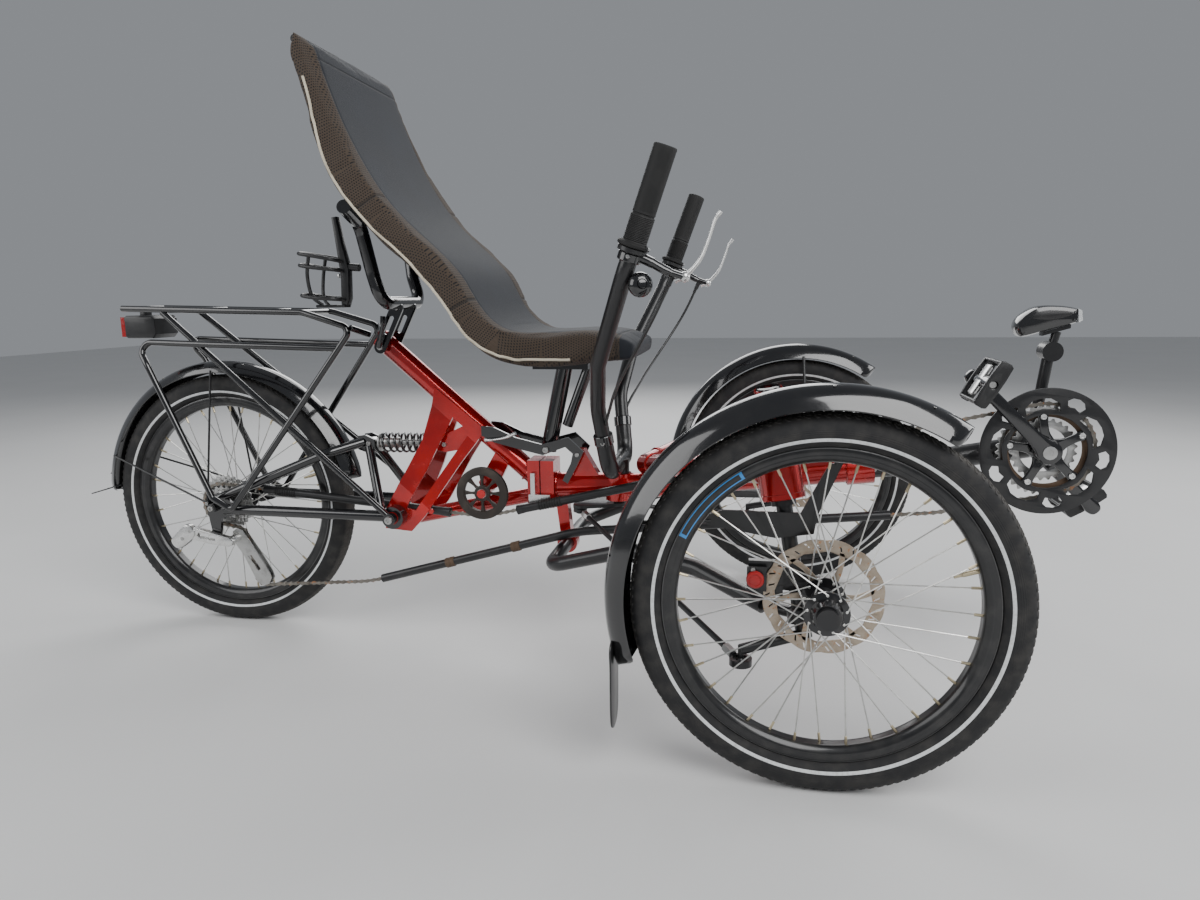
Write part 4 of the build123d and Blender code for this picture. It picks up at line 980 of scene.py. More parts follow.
@dataclass
class Wheel:
    """One wheel: tyre with tread, rim, laced spokes, and what sits on its hub."""

    name: str
    repeats: Repeats
    spokes: int = 36
    spoke_r: float = 1.0
    flange_r: float = 27.0
    flanges: Flat = (-27.0, 27.0)
    steps: int = 168
    tread_r: float = 253.0
    tread_pitches: int = 132

    def __post_init__(self) -> None:
        """Finds the wheel's middle."""
        self.centre = WHEELS[self.name]
        self.body = f"{self.name}_wheel"

    def make(self) -> None:
        """Builds the wheel."""
        self.tyre()
        self.rim()
        self.lacing()
        if self.name == "rear":
            self.cassette()
        else:
            self.rotor()

    def tyre(self) -> None:
        """The carcass with its bead line and ribs, and the tread's blocks."""
        half = [
            (0, 252.1), (5, 251.9), (10, 251.1), (15, 249.3), (19, 246.2), (22.3, 241.6), (24.3, 236),
            (25, 230), (24.6, 224.5), (23.2, 219), (20.6, 214.4), (17.2, 211.6), (15.4, 210.9),
            (14.6, 211.6), (13.6, 211.2), (12.4, 210.2), (11.3, 208.2), (11.0, 203),
        ]
        shape = Shape()
        shape.lathe(self.centre, LEFT, both_ways(half), self.steps)
        rubber = TyreRubber(f"{self.name}_tyre_rubber", self.centre).build()
        shape.done(f"{self.name}_tyre_carcass", rubber, self.body, [f"{self.name}_tyre"])
        block = Shape()
        for from_y, to_y, lean in ((0.8, 6.4, 5.5), (7.4, 12.6, 5.0), (13.6, 18.2, 4.2)):
            for hand in (-1, 1):
                rows = []
                for y in (from_y, to_y):
                    drop = self.tread_r - (y / 25.0) ** 2.6 * 11.0
                    shift = (y - from_y) * 0.9 + (2.6 if hand > 0 else 0.0)
                    row = []
                    for x, lift in (
                        (shift, -1.4), (shift + 0.5, 0.0), (shift + lean - 0.5, 0.0), (shift + lean, -1.4),
                    ):
                        turn = x / self.tread_r
                        reach = (drop + lift) * MM
                        row.append(Vector((reach * sin(turn), 0, reach * cos(turn))) + LEFT * hand * y * MM)
                    rows.append(row)
                block.skin(rows, False, False, False)
                for row in rows:
                    block.mesh.faces.new([block.mesh.verts.new(place) for place in row])
        self.repeats.round_axle(
            block, f"{self.name}_tyre_tread", self.tread_pitches, self.centre, rubber, self.body, "tyre",
        )
        valve = Shape()
        foot = self.centre + Vector((0.19 * cos(0.3), 0, 0.19 * sin(0.3)))
        inward = (self.centre - foot).normalized()
        valve.rod(foot - inward * 0.004, foot + inward * 0.02, 3.2)
        valve.rod(foot + inward * 0.018, foot + inward * 0.03, 2.4)
        valve.done(f"{self.name}_valve", Finish.BRASS, self.body)

    def rim(self) -> None:
        """The box rim with its hooked walls and rounded bridge."""
        half = [
            (0, 190.2), (4, 190.0), (7, 190.1), (10, 191.6), (13.4, 195.4), (14.8, 198.2), (15, 200),
            (14.8, 200.6), (15, 201.2), (15, 208.4), (14.4, 209.8), (13.4, 210), (12.2, 209.2),
            (12.0, 207), (12.4, 202.2), (11.0, 201.6),
        ]
        shape = Shape()
        shape.lathe(self.centre, LEFT, both_ways(half), self.steps)
        arc = (radians(122), radians(154)) if self.name == "right" else None
        paint = RimPaint(f"{self.name}_rim_paint", self.centre, arc).build()
        shape.done(f"{self.name}_rim_box", paint, self.body, [f"{self.name}_rim"])

    def lacing(self) -> None:
        """Crossed spokes with bent heads, and their nipples."""
        def spot(angle: float, radius: float, y: float) -> Vector:
            """A place about the axle in millimetres."""
            return Vector((radius * sin(angle), y, radius * cos(angle))) * MM

        spokes = Shape()
        nipples = Shape()
        step = 2 * pi / self.spokes
        near, far = self.flanges
        for number in range(4):
            flange = near if number % 2 else far
            way = 1 if number < 2 else -1
            lean = way * radians(50)
            turn = step * number
            inner = flange + way * 2.4
            foot = spot(turn - lean, self.flange_r - 1.5, inner)
            head = spot(turn, 190.5, flange * 0.12)
            along = (head - foot).normalized()
            knee = foot + along * 0.004
            shank = spot(turn - lean, self.flange_r - 2.5, flange - way * 1.2)
            spokes.tube([shank, foot, knee, head], [1.1, 1.15, self.spoke_r, self.spoke_r], 6)
            cap = spot(turn - lean, self.flange_r - 2.5, flange - way * 3.6)
            spokes.rod(shank, cap, 2.0, 8, 0.5)
            nipples.rod(head - along * 0.012, head + along * 0.001, 1.9, 6, 0.5)
        for shape, piece, finish, stands_for in (
            (spokes, "spoke_set", Finish.SPOKE_STEEL, [f"{self.name}_spokes"]),
            (nipples, "nipples", Finish.BRASS, []),
        ):
            piece = f"{self.name}_{piece}"
            count = self.spokes // 4
            self.repeats.round_axle(
                shape, piece, count, self.centre, finish, self.body, "spoke_steel", stands_for,
            )

    def rotor(self) -> None:
        """The wavy slotted brake disc on its spider."""
        hand = SIDES[self.name]
        turns = [2 * pi * k / 144 for k in range(144)]
        rim = [polar(77.6 + 2.2 * abs(sin(t * 6)), t) for t in turns]
        inside = [polar(63.4 - 2.4 * abs(sin(t * 6 + 0.5)), t) for t in turns]
        slots = []
        for number in range(30):
            turn = 2 * pi * number / 30
            middle = 70.4 + (2.4 if number % 2 else -2.0)
            slot_ = ((-3.6, -0.022), (-3.0, -0.004), (3.4, 0.046), (4.0, 0.028), (3.2, 0.012), (-3.2, -0.04))
            slots.append([polar(middle + u, turn + v) for u, v in slot_])
        across = hand * 34.0 - 1.0
        frame_ = Matrix.Translation(self.centre + Vector((0, across * MM, 0))) @ UPRIGHT
        shape = Shape()
        shape.plate([rim, inside, *slots], frame_, 2.0, 0.3)
        arm = [(21, -4.5), (36, -4), (52, 1), (63.5, 7), (64.5, 14), (58, 12), (44, 5.5), (32, 4.5), (21, 6)]
        for number in range(6):
            turn = Matrix.Rotation(radians(60 * number), 4, "Z")
            shape.plate([arm], frame_ @ turn, 2.0, 0.3, smooth=True)
        shape.plate([ring(26), ring(20.3)], frame_, 2.0, 0.3)
        shape.done(
            f"{self.name}_brake_disc", Finish.ROTOR_STEEL, self.body, [f"{self.name}_rotor"],
        )
        places = []
        for number in range(6):
            turn = 2 * pi * (number + 0.4) / 6
            spot = self.centre + Vector(
                (0.0228 * cos(turn), (across + (2.0 if hand > 0 else 0.0)) * MM, 0.0228 * sin(turn)),
            )
            places.append((spot, Vector((0, hand, 0)), 0.6))
        self.repeats.on_points(screw_head(), f"{self.name}_disc_screws", places, Finish.STEEL, self.body)

    def cassette(self) -> None:
        """The toothed sprockets on their core, with the lock ring."""
        shape = Shape()
        for radius, y, teeth in (
            (56.0, -29.0, 28), (51.0, -33.0, 25), (47.0, -37.0, 23), (43.0, -40.4, 21), (36.5, -45.0, 18),
            (31.0, -49.6, 15), (26.0, -53.4, 13),
        ):
            cuts = [ring(15.4, 24)]
            if radius > 40:
                cuts += holes(6, 26, 5.0, 10) + holes(8, 37, 3.4, 8, 0.5)
            shape.plate([toothed(radius, teeth, 3.8), *cuts], upright(0, y - 0.9, AXLE_Z), 1.8, 0.25)
        shape.lathe(self.centre, LEFT, [(-54.5, 15.4), (-54.5, 20.5), (-28, 20.5), (-28, 15.4)], 32)
        shape.done("sprocket_stack", Finish.STEEL, self.body, ["rear_cassette"])


@dataclass
class Mudguard:
    """A bowed strip over a wheel with rounded ends, its flap, and its rivets."""

    name: str
    repeats: Repeats
    half: float = 33.0
    edge_r: float = 258.0
    crown_r: float = 288.0
    arc: Flat = (55.0, 200.0)
    wall: float = 2.4
    steps: int = 120
    rounded: float = 26.0

    def make(self) -> None:
        """Builds the strip and what is on it."""
        centre = WHEELS[self.name]
        body = "frame" if self.name == "rear" else f"{self.name}_knuckle"
        shape = Shape()
        rows = []
        for step in range(self.steps + 1):
            share = step / self.steps
            angle = radians(self.arc[0] + (self.arc[1] - self.arc[0]) * share)
            end = min(share, 1 - share) * (self.arc[1] - self.arc[0]) * pi / 180 * self.crown_r
            narrow = 1.0
            if end <= self.rounded:
                narrow = 0.35 + 0.65 * max(0.0, 1 - (1 - end / self.rounded) ** 2) ** 0.5
            ray = Vector((cos(angle), 0, sin(angle)))
            row = []
            for sign, lift in ((1, 0.0), (-1, -self.wall)):
                line = []
                for k in range(-8, 9):
                    across = k / 8
                    rise = (1 - abs(across) ** 2.6) * (self.crown_r - self.edge_r) * (0.35 + 0.65 * narrow)
                    base = self.edge_r + (self.crown_r - self.edge_r) * 0.65 * (1 - narrow)
                    out = base + rise + (0.9 if abs(k) == 8 and sign > 0 else 0.0)
                    width = self.half * narrow - (0 if sign > 0 else self.wall * 0.5)
                    line.append((width * across, max(out + lift, self.edge_r - 0.5)))
                row += line if sign > 0 else list(reversed(line))
            rows.append([centre + (ray * v + Vector((0, u, 0))) * MM for u, v in row])
        shape.skin(rows, True, False, True)
        stands_for = [f"{self.name}_fender"]
        shape.done(f"{self.name}_mudguard", Finish.BLACK_GLOSS, body, stands_for, sharp=60)
        flap = Shape()
        if self.name == "rear":
            leaf = [(-25, 5), (25, 5), (27, -14), (25, -34), (14, -45), (-14, -45), (-25, -34), (-27, -14)]
            turn = Matrix(((0, 0.96, 0.28), (1, 0, 0), (0, 0.28, -0.96))).to_4x4()
            flap.plate([leaf], Matrix.Translation(at(-281.5, 0, 270)) @ turn, 2.4, 0.8, smooth=True)
            rivets = [(at(-287, y, 268), Vector((-0.28, 0, 0.96)), 0.5) for y in (-12, 12)]
        else:
            leaf = [
                (-28, 98), (28, 98), (29.5, 60), (29, 8), (24, -18), (10, -28), (-10, -28), (-24, -18),
                (-29, 8), (-29.5, 60),
            ]
            turn = Matrix(((0, 0, -1), (1, 0, 0), (0, 1, 0))).to_4x4()
            middle = centre + Vector((-0.2748, 0, 93 * MM - 0.253))
            flap.plate([leaf], Matrix.Translation(middle) @ turn, 2.6, 0.8, smooth=True)
            rivets = [
                (middle + Vector((-0.003, y * MM, z * MM)), Vector((-1, 0, 0)), 0.55)
                for y in (-16, 16)
                for z in (66, 84)
            ]
        flap.done(f"{self.name}_flap", Finish.SMOKED, body)
        for angle in ((80, 118, 170) if self.name == "rear" else (66, 90, 168)):
            ray = Vector((cos(radians(angle)), 0, sin(radians(angle))))
            for across in (-14, 14):
                spot = centre + (ray * (self.crown_r - 2.6) + Vector((0, across, 0))) * MM
                rivets.append((spot, ray, 0.5))
        self.repeats.on_points(
            screw_head(4, 1.8, 0.8), f"{self.name}_guard_rivets", rivets, Finish.STEEL, body,
        )


@dataclass
class Seat:
    """The mesh seat: a padded cover with a smooth middle, coarse bolsters, pleats and piping."""

    ridge: tuple[Flat, ...] = (
        (301, 1081), (325, 1005), (354, 928), (387, 862), (440, 787), (495, 735), (546, 680), (578, 624),
        (616, 591), (680, 584), (780, 586), (845, 568),
    )
    under: tuple[Flat, ...] = (
        (288, 1045), (303, 996), (322, 914), (344, 846), (382, 792), (415, 753), (465, 705), (499, 665),
        (531, 622), (555, 587), (599, 552), (640, 540), (727, 538), (838, 542),
    )
    plan: tuple[Flat, ...] = (
        (270, 178), (330, 188), (520, 190), (600, 172), (680, 141), (760, 133), (850, 124),
    )
    bolster: float = 40.0
    voxel: float = 6.0
    swell: float = 7.0
    pressure: float = 4.0
    frames: int = 20
    pleats: Flat = (298.0, 520.0)
    collar: float = 52.0
    nose: float = 806.0

    def half(self, x: float) -> float:
        """Half the seat's width at a place along it."""
        for (x1, half1), (x2, half2) in zip(self.plan, self.plan[1:]):
            if x <= x2:
                return half1 + (half2 - half1) * max(0.0, x - x1) / (x2 - x1)
        return self.plan[-1][1]

    def along(self, x: float, z: float) -> Flat:
        """How far along the seat's ridge a place lies, and how far below it, in millimetres."""
        best = (1e9, 0.0)
        run = 0.0
        for (x1, z1), (x2, z2) in zip(self.ridge, self.ridge[1:]):
            span = hypot(x2 - x1, z2 - z1)
            share = max(0.0, min(1.0, ((x - x1) * (x2 - x1) + (z - z1) * (z2 - z1)) / span ** 2))
            away = hypot(x - x1 - share * (x2 - x1), z - z1 - share * (z2 - z1))
            if away < best[0]:
                best = (away, run + share * span)
            run += span
        return best[1], best[0]

    def make(self) -> None:
        """Builds the cover and its piping."""
        cover = self.padding()
        self.tailor(cover)
        settle(cover, Finish.SEAT_FABRIC, "frame", ["seat_cover"])
        self.piping(cover)

    def padding(self) -> Piece:
        """The swollen cover.

        Returns:
            The cover's object, its modifiers applied.
        """
        mesh = frame["nodes"]["seat_cover"].data.copy()
        mesh.name = "seat_pad"
        cover = linked("seat_pad", mesh)
        merged = bmesh.new()
        merged.from_mesh(mesh)
        bmesh.ops.remove_doubles(merged, verts=merged.verts, dist=1e-5)
        merged.to_mesh(mesh)
        merged.free()
        remesh = cover.modifiers.new("even", "REMESH")
        remesh.mode = "VOXEL"
        remesh.voxel_size = self.voxel * MM
        remesh.use_smooth_shade = True
        soft = cover.modifiers.new("soft", "SMOOTH")
        soft.factor = 0.5
        soft.iterations = 5
        self.apply(cover)
        start = [vertex.co.copy() for vertex in cover.data.vertices]
        cloth = cover.modifiers.new("pressure", "CLOTH")
        cloth.settings.quality = 4
        cloth.settings.use_pressure = True
        cloth.settings.uniform_pressure_force = self.pressure
        cloth.settings.tension_stiffness = 15
        cloth.settings.compression_stiffness = 15
        cloth.settings.effector_weights.gravity = 0.0
        for step in range(1, self.frames + 1):
            bpy.context.scene.frame_set(step)
        self.apply(cover)
        bpy.context.scene.frame_set(1)
        for vertex, before in zip(cover.data.vertices, start):
            move = vertex.co - before
            if move.length > self.swell * MM:
                vertex.co = before + move.normalized() * self.swell * MM
        finer = cover.modifiers.new("finer", "SUBSURF")
        finer.levels = finer.render_levels = 1
        self.apply(cover)
        return cover

    def apply(self, piece: Piece) -> None:
        """Makes the mesh what its modifiers give, and removes them."""
        mesh = evaluated(piece)
        old = piece.data
        piece.modifiers.clear()
        piece.data = mesh
        bpy.data.meshes.remove(old)

    def tailor(self, cover: Piece) -> None:
        """Sews the cover: its map, its zones, its seams, and the valleys at them."""
        mesh = cover.data
        mesh.attributes.new("zone", "FLOAT", "POINT")
        mesh.attributes.new("seam", "FLOAT", "POINT")
        zones, seams = mesh.attributes["zone"], mesh.attributes["seam"]
        flat = {}
        outward = [vertex.normal.copy() for vertex in mesh.vertices]
        for vertex in mesh.vertices:
            x = vertex.co.x / MM - REAR_X
            y = vertex.co.y / MM
            z = vertex.co.z / MM
            run, depth = self.along(x, z)
            edge = self.half(x) - self.bolster
            zone = 0.5 + (abs(y) - edge) / 24.0
            front = max(0.0, min(1.0, (x - self.nose) / 9.0))
            zone = max(0.0, min(1.0, zone)) * (1 - front * 0.9)
            outer = max(0.0, min(1.0, (zone - 0.5) * 4))
            pleat = sum(max(0.0, 1 - abs(run - place) / 3.4) for place in self.pleats) * outer
            cap = max(0.0, 1 - abs(x - self.nose) / 2.6)
            collar = max(0.0, 1 - abs(run - self.collar) / 2.4)
            border = max(0.0, 1 - abs(abs(y) - edge) / 3.0)
            seam = min(1.0, pleat + cap + collar * (1 - outer))
            zones.data[vertex.index].value = zone
            seams.data[vertex.index].value = seam
            hand = 1.0 if y > 0 else -1.0
            flat[vertex.index] = (run * MM, hand * (abs(y) + depth * outer) * MM)
            valley = 1.7 * pleat + 1.4 * cap + 1.0 * border + 0.8 * collar
            wave = 0.9 * outer * sin(run / 17.0 + 1.3 * hand) * sin(depth / 9.0)
            vertex.co -= outward[vertex.index] * (valley + wave * 0.6 + 0.5) * MM
        chart = mesh.uv_layers.new(name="cover")
        for loop in mesh.loops:
            chart.data[loop.index].uv = flat[loop.vertex_index]
        for polygon in mesh.polygons:
            polygon.use_smooth = True

    def piping(self, cover: Piece) -> None:
        """Cream piping sewn along the lower edges."""
        bound = bmesh.new()
        bound.from_mesh(cover.data)
        tree = BVHTree.FromBMesh(bound)
        bound.free()
        shape = Shape()
        for hand in (-1, 1):
            points = [at(x + 4, hand * (self.half(x) + 6), z + 6) for x, z in self.under[1:-1]]
            sewn = []
            for place in smooth_line(points, 10):
                found, normal, _, _ = tree.find_nearest(place)
                sewn.append(found + normal * 0.0006)
            ends = [sewn[0], *sewn, sewn[-1]]
            eased = [(a + b * 2 + c) / 4 for a, b, c in zip(ends, sewn, ends[2:])]
            shape.tube(eased, 2.3, 8)
        shape.done("seat_piping", Finish.PIPING, "frame")


@dataclass
class Drive:
    """Chain, chainrings with their guard, cranks, pedals, idler, chain tubes and derailleur."""

    repeats: Repeats
    chain_y: float = -45.0
    pitch: float = 12.7
    bracket: Flat = (1496.0, 395.0)
    idler_place: Flat = (538.0, 292.0)
    crank_deg: float = 135.5
    crank_length: float = 170.0
    belt: tuple[tuple[float, float, float, int], ...] = (
        (0.0, 253.0, 41.0, -1), (538.0, 292.0, 44.0, 1), (1496.0, 395.0, 76.0, -1),
        (1290.0, 581.0, 300.0, -1), (775.0, -70.0, 300.0, 1), (250.0, 405.0, 300.0, -1),
        (78.0, 108.0, 18.0, -1), (30.0, 188.0, 18.0, 1),
    )

    def touches(self) -> list[tuple[Flat, Flat]]:
        """Where the chain leaves each wheel and meets the next one."""
        places = []
        for number, (x1, z1, r1, turn1) in enumerate(self.belt):
            x2, z2, r2, turn2 = self.belt[(number + 1) % len(self.belt)]
            heading = atan2(z2 - z1, x2 - x1) + asin((turn1 * r1 - turn2 * r2) / hypot(x2 - x1, z2 - z1))
            right_x, right_z = sin(heading), -cos(heading)
            places.append((
                (x1 + turn1 * r1 * right_x, z1 + turn1 * r1 * right_z),
                (x2 + turn2 * r2 * right_x, z2 + turn2 * r2 * right_z),
            ))
        return places

    def route(self) -> list[Flat]:
        """The chain's line as close points."""
        places = self.touches()
        line = []
        for number, (leave, meet) in enumerate(places):
            following = (number + 1) % len(places)
            x, z, r, turn = self.belt[following]
            onward = places[following][0]
            start = atan2(meet[1] - z, meet[0] - x)
            sweep = (atan2(onward[1] - z, onward[0] - x) - start) * turn % (2 * pi)
            span = hypot(meet[0] - leave[0], meet[1] - leave[1])
            steps = max(1, int(span / 2))
            line += [
                (leave[0] + (meet[0] - leave[0]) * k / steps, leave[1] + (meet[1] - leave[1]) * k / steps)
                for k in range(steps)
            ]
            steps = max(1, int(r * sweep / 2))
            for k in range(steps):
                u, v = polar(r, start + turn * sweep * k / steps)
                line.append((x + u, z + v))
        return line

    def make(self) -> None:
        """Builds the drive."""
        self.chain()
        self.rings()
        self.cranks()
        self.idler()
        self.tubes()
        self.derailleur()

    def chain(self) -> None:
        """Inner and outer links in turn along the chain's line."""
        line = self.route()
        spans = [hypot(b[0] - a[0], b[1] - a[1]) for a, b in zip(line, line[1:] + line[:1])]
        count = 2 * round(sum(spans) / self.pitch / 2)
        step = sum(spans) / count
        pins = []
        run, target = 0.0, 0.0
        for (x1, z1), (x2, z2), span in zip(line, line[1:] + line[:1], spans):
            while target < run + span and len(pins) < count:
                share = (target - run) / span
                pins.append(at(x1 + (x2 - x1) * share, self.chain_y, z1 + (z2 - z1) * share))
                target += step
            run += span
        half = [(0.0, -3.6), (2.6, -2.8), (6.35, -2.0), (10.1, -2.8), (12.7, -3.6), (15.6, -2.4), (16.3, 0.0)]
        rim = [*mirrored(half), (-2.9, 2.4), (-3.6, 0.0), (-2.9, -2.4)]
        for kind in (0, 1):
            shape = Shape()
            inset = 2.1 if kind else 1.25
            for hand in (-1, 1):
                low = hand * inset - 0.4
                sides = (low, low + 0.8)
                rows = [[Vector((x, height, reach)) * MM for reach, height in rim] for x in sides]
                shape.skin(rows, True, False, True)
            if kind:
                for reach in (0.0, self.pitch):
                    shape.rod(Vector((-2.9, 0, reach)) * MM, Vector((2.9, 0, reach)) * MM, 1.7, 6, 0.2)
            places = []
            for number in range(kind, count, 2):
                start, end = pins[number % len(pins)], pins[(number + 1) % len(pins)]
                places.append((start, (end - start).normalized(), 1.0))
            name, stands_for = ("chain_outer_links", ["chain"]) if kind else ("chain_inner_links", [])
            self.repeats.on_points(shape, name, places, Finish.CHAIN_STEEL, stands_for=stands_for)

    def rings(self) -> None:
        """The toothed ring, the inner ring, and the guard with its windows."""
        x, z = self.bracket
        guard = Shape()
        windows = []
        large = [*mirrored([(67, -22), (79, -19), (86, -9), (87, 0)]), (69, 10), (70, 0), (69, -10)]
        small = [(76, 28.5), (86, 26), (92, 30), (94, 36), (92, 42), (86, 46), (76, 43.5), (79, 36)]
        for number in range(5):
            middle = 72 * number
            for drawing in (large, small):
                windows.append([polar(r, radians(middle + a)) for r, a in drawing])
        sheet = [ring(103, 120), ring(60, 90)]
        guard.plate(sheet + windows, upright(x, -60, z, self.crank_deg + 36), 3.0, 0.5)
        guard.done("chain_guard", Finish.BLACK_MATTE, "crankset", ["chainrings"])
        teeth = Shape()
        teeth.plate([toothed(74.6, 38, 4.6), ring(58, 60)], upright(x, self.chain_y - 1.0, z), 2.0, 0.25)
        teeth.plate([toothed(52, 26, 4.6), ring(37, 48)], upright(x, -39, z), 2.0, 0.25)
        teeth.done("chainring_teeth", Finish.STEEL, "crankset")
        spider = Shape()
        arm = mirrored([(12, -13), (30, -8), (46, -7), (63, -8.5), (66, 0)])
        bolts = []
        for number in range(5):
            turn = self.crank_deg + 36 + 72 * number
            spider.plate([arm], upright(x, -57, z, turn), 6.0, 1.6, smooth=True)
            u, v = polar(57, radians(turn))
            bolts.append((at(x + u, -57.2, z + v), RIGHT, 1.15))
        spider.lathe(at(x, 0, z), LEFT, [(-61, 12.3), (-61, 20), (-59, 21), (-50, 21), (-50, 12.3)], 36)
        spider.done("ring_spider", Finish.BLACK_GLOSS, "crankset")
        inner = Shape()
        inner.plate([ring(66, 72), ring(55, 60)], upright(x, -50, z), 2.5, 0.5)
        inner.done("ring_carrier", Finish.STRAP, "crankset")
        self.repeats.on_points(
            screw_head(4.4, 2.6, 2.2), "ring_bolts", bolts, Finish.SILVER, "crankset", "steel",
        )

    def cranks(self) -> None:
        """Two forged cranks, their bolts, and the pedals."""
        x, z = self.bracket
        turn = radians(self.crank_deg)
        shape = Shape()
        for across, way in ((-74.0, 0.0), (61.0, 180.0)):
            place = upright(x, across, z, self.crank_deg + way)
            rim = [(-19, 0), (-17, -10), (-8, -18), (6, -18), (30, -12), (90, -10.5), (150, -10.5)]
            shape.plate([mirrored([*rim, (168, -13), (180, -9), (183, 0)])], place, 13.0, 3.2, smooth=True)
        shape.rod(at(x, -60, z), at(x, 60, z), 11.8, 24)
        shape.done("crank_arms", Finish.BLACK_GLOSS, "crankset", ["crankset"])
        axles = Shape()
        caps = []
        for hand in (-1, 1):
            end = (x - hand * self.crank_length * cos(turn), z - hand * self.crank_length * sin(turn))
            axles.rod(at(end[0], hand * 63, end[1]), at(end[0], hand * 182, end[1]), 5.8, 18)
            caps.append((at(x, hand * 74.4, z), Vector((0, hand, 0)), 2.2))
            caps.append((at(end[0], hand * 74.2, end[1]), Vector((0, hand, 0)), 1.4))
        axles.done("pedal_axles", Finish.STEEL, "crankset")
        self.repeats.on_points(
            screw_head(5.0, 0.4, 2.2), "crank_caps", caps, Finish.STEEL, "crankset", "silver",
        )
        for side, way, tilt in (("right", 1, 60.0), ("left", -1, 35.0)):
            end = (x + way * self.crank_length * cos(turn), z + way * self.crank_length * sin(turn))
            self.pedal(side, end, tilt)

    def pedal(self, side: str, end: Flat, tilt: float) -> None:
        """One pedal: black cage with bars, a round body and bright binding plates."""
        hand = -SIDES[side]
        body = f"{side}_pedal"
        low = 93 if hand > 0 else -187
        cage = Shape()
        frame_ = upright(end[0], low, end[1], tilt)
        rim = mirrored([(-37, -5), (-34, -10), (-14, -11.5), (14, -11.5), (34, -10), (37, -5)])
        for shift in (0.0, 88.0):
            cage.plate([rim, ring(6.2, 24)], frame_ @ Matrix.Translation((0, 0, shift * MM)), 6.0, 1.2)
        for u, v in ((-33, 7), (-33, -7), (33, 7), (33, -7)):
            ends = [frame_ @ Vector((u * MM, v * MM, w)) for w in (0.002, 0.092)]
            cage.rod(*ends, 3.0, 10)
        cage.done(f"{side}_pedal_cage", Finish.BLACK_PLASTIC, body, [f"{side}_pedal"])
        core = Shape()
        profile = [(6, 6.1), (6, 10), (22, 11.4), (70, 11.4), (86, 9), (86, 6.1)]
        core.lathe(at(end[0], low, end[1]), LEFT, profile, 28)
        core.done(f"{side}_pedal_core", Finish.BLACK_GLOSS, body)
        plates = Shape()
        leaf = [(-26, 0), (-22, -3), (22, -3), (26, 0), (24, 2.2), (-24, 2.2)]
        for flip in (-1, 1):
            shifted = [(u, v + flip * 9.0) for u, v in leaf]
            plates.plate([shifted], frame_ @ Matrix.Translation((0, 0, 0.034)), 26.0, 0.8)
        plates.done(f"{side}_pedal_plates", Finish.SILVER, body)

    def idler(self) -> None:
        """The brown pulley under the frame's tube: grooved rim, eight spokes and its bearing."""
        x, z = self.idler_place
        centre = at(x, self.chain_y, z)
        shape = Shape()
        half = [(-5, 35), (-5, 48), (-4.4, 49), (-3.8, 49), (-3.4, 47), (-3.2, 40.2), (-2.6, 39.4)]
        shape.lathe(centre, LEFT, [*both_ways(half), (4, 34.2), (-4, 34.2)], 96)
        arm = mirrored([(10, -2.6), (22, -2.0), (35, -4.2), (36, 0)])
        for number in range(8):
            shape.plate([arm], upright(x, self.chain_y - 3.6, z, 45 * number), 7.2, 1.4, smooth=True)
        shape.lathe(centre, LEFT, both_ways([(-4.6, 9), (-4.6, 14), (-4, 14.8)]), 40)
        shape.done("idler_pulley", Finish.IDLER_PLASTIC, stands_for=["idler"])
        bearing = Shape()
        bearing.lathe(centre, LEFT, both_ways([(-4.9, 5.4), (-4.9, 8.8)]), 32)
        bearing.done("idler_bearing", Finish.STEEL, "frame")
        cap = [(centre + Vector((0, -0.0085, 0)), RIGHT, 1.6)]
        self.repeats.on_points(screw_head(4.6, 0.3, 2.2), "idler_screw", cap, Finish.STEEL)

    def tubes(self) -> None:
        """Flared mouths and ribbed sleeves of the chain's tubes, and their strap."""
        shape = Shape()
        bands = Shape()
        places = self.touches()
        for run, first, last in ((0, 92.0, 60.0), (1, 58.0, 190.0)):
            (x1, z1), (x2, z2) = places[run]
            start, end = at(x1, self.chain_y, z1), at(x2, self.chain_y, z2)
            along = (end - start).normalized()
            mouths = (start + along * first * MM, end - along * last * MM)
            for mouth, way in zip(mouths, (-1, 1)):
                profile = [(0, 6.3), (5, 6.6), (8, 8.6), (7.2, 9.4), (4, 8.9), (-6, 8.3), (-6, 8.0), (0, 8.0)]
                shape.lathe(mouth - along * way * 8 * MM, along * way, profile, 24, first=LEFT)
            middle = mouths[0].lerp(mouths[1], 0.06)
            for rib in range(9):
                spot = middle + along * rib * 5 * MM
                bands.lathe(spot, along, [(0, 8.05), (0.6, 9.2), (2.6, 9.2), (3.2, 8.05)], 20, first=LEFT)
        shape.done("tube_mouths", Finish.BLACK_PLASTIC)
        bands.done("tube_sleeves", Finish.RUBBER, "frame")
        (x1, z1), (x2, z2) = places[4]
        joints = Shape()
        for x in (470.0, 600.0):
            share = (x - x1) / (x2 - x1)
            spot = at(x, self.chain_y, z1 + (z2 - z1) * share)
            along = (at(x2, 0, z2) - at(x1, 0, z1)).normalized()
            profile = both_ways([(-9, 8.05), (-8, 9.6), (-1, 9.6), (0, 8.8)])
            joints.lathe(spot, along, profile, 24, first=LEFT)
        joints.done("tube_joints", Finish.STRAP, "frame")

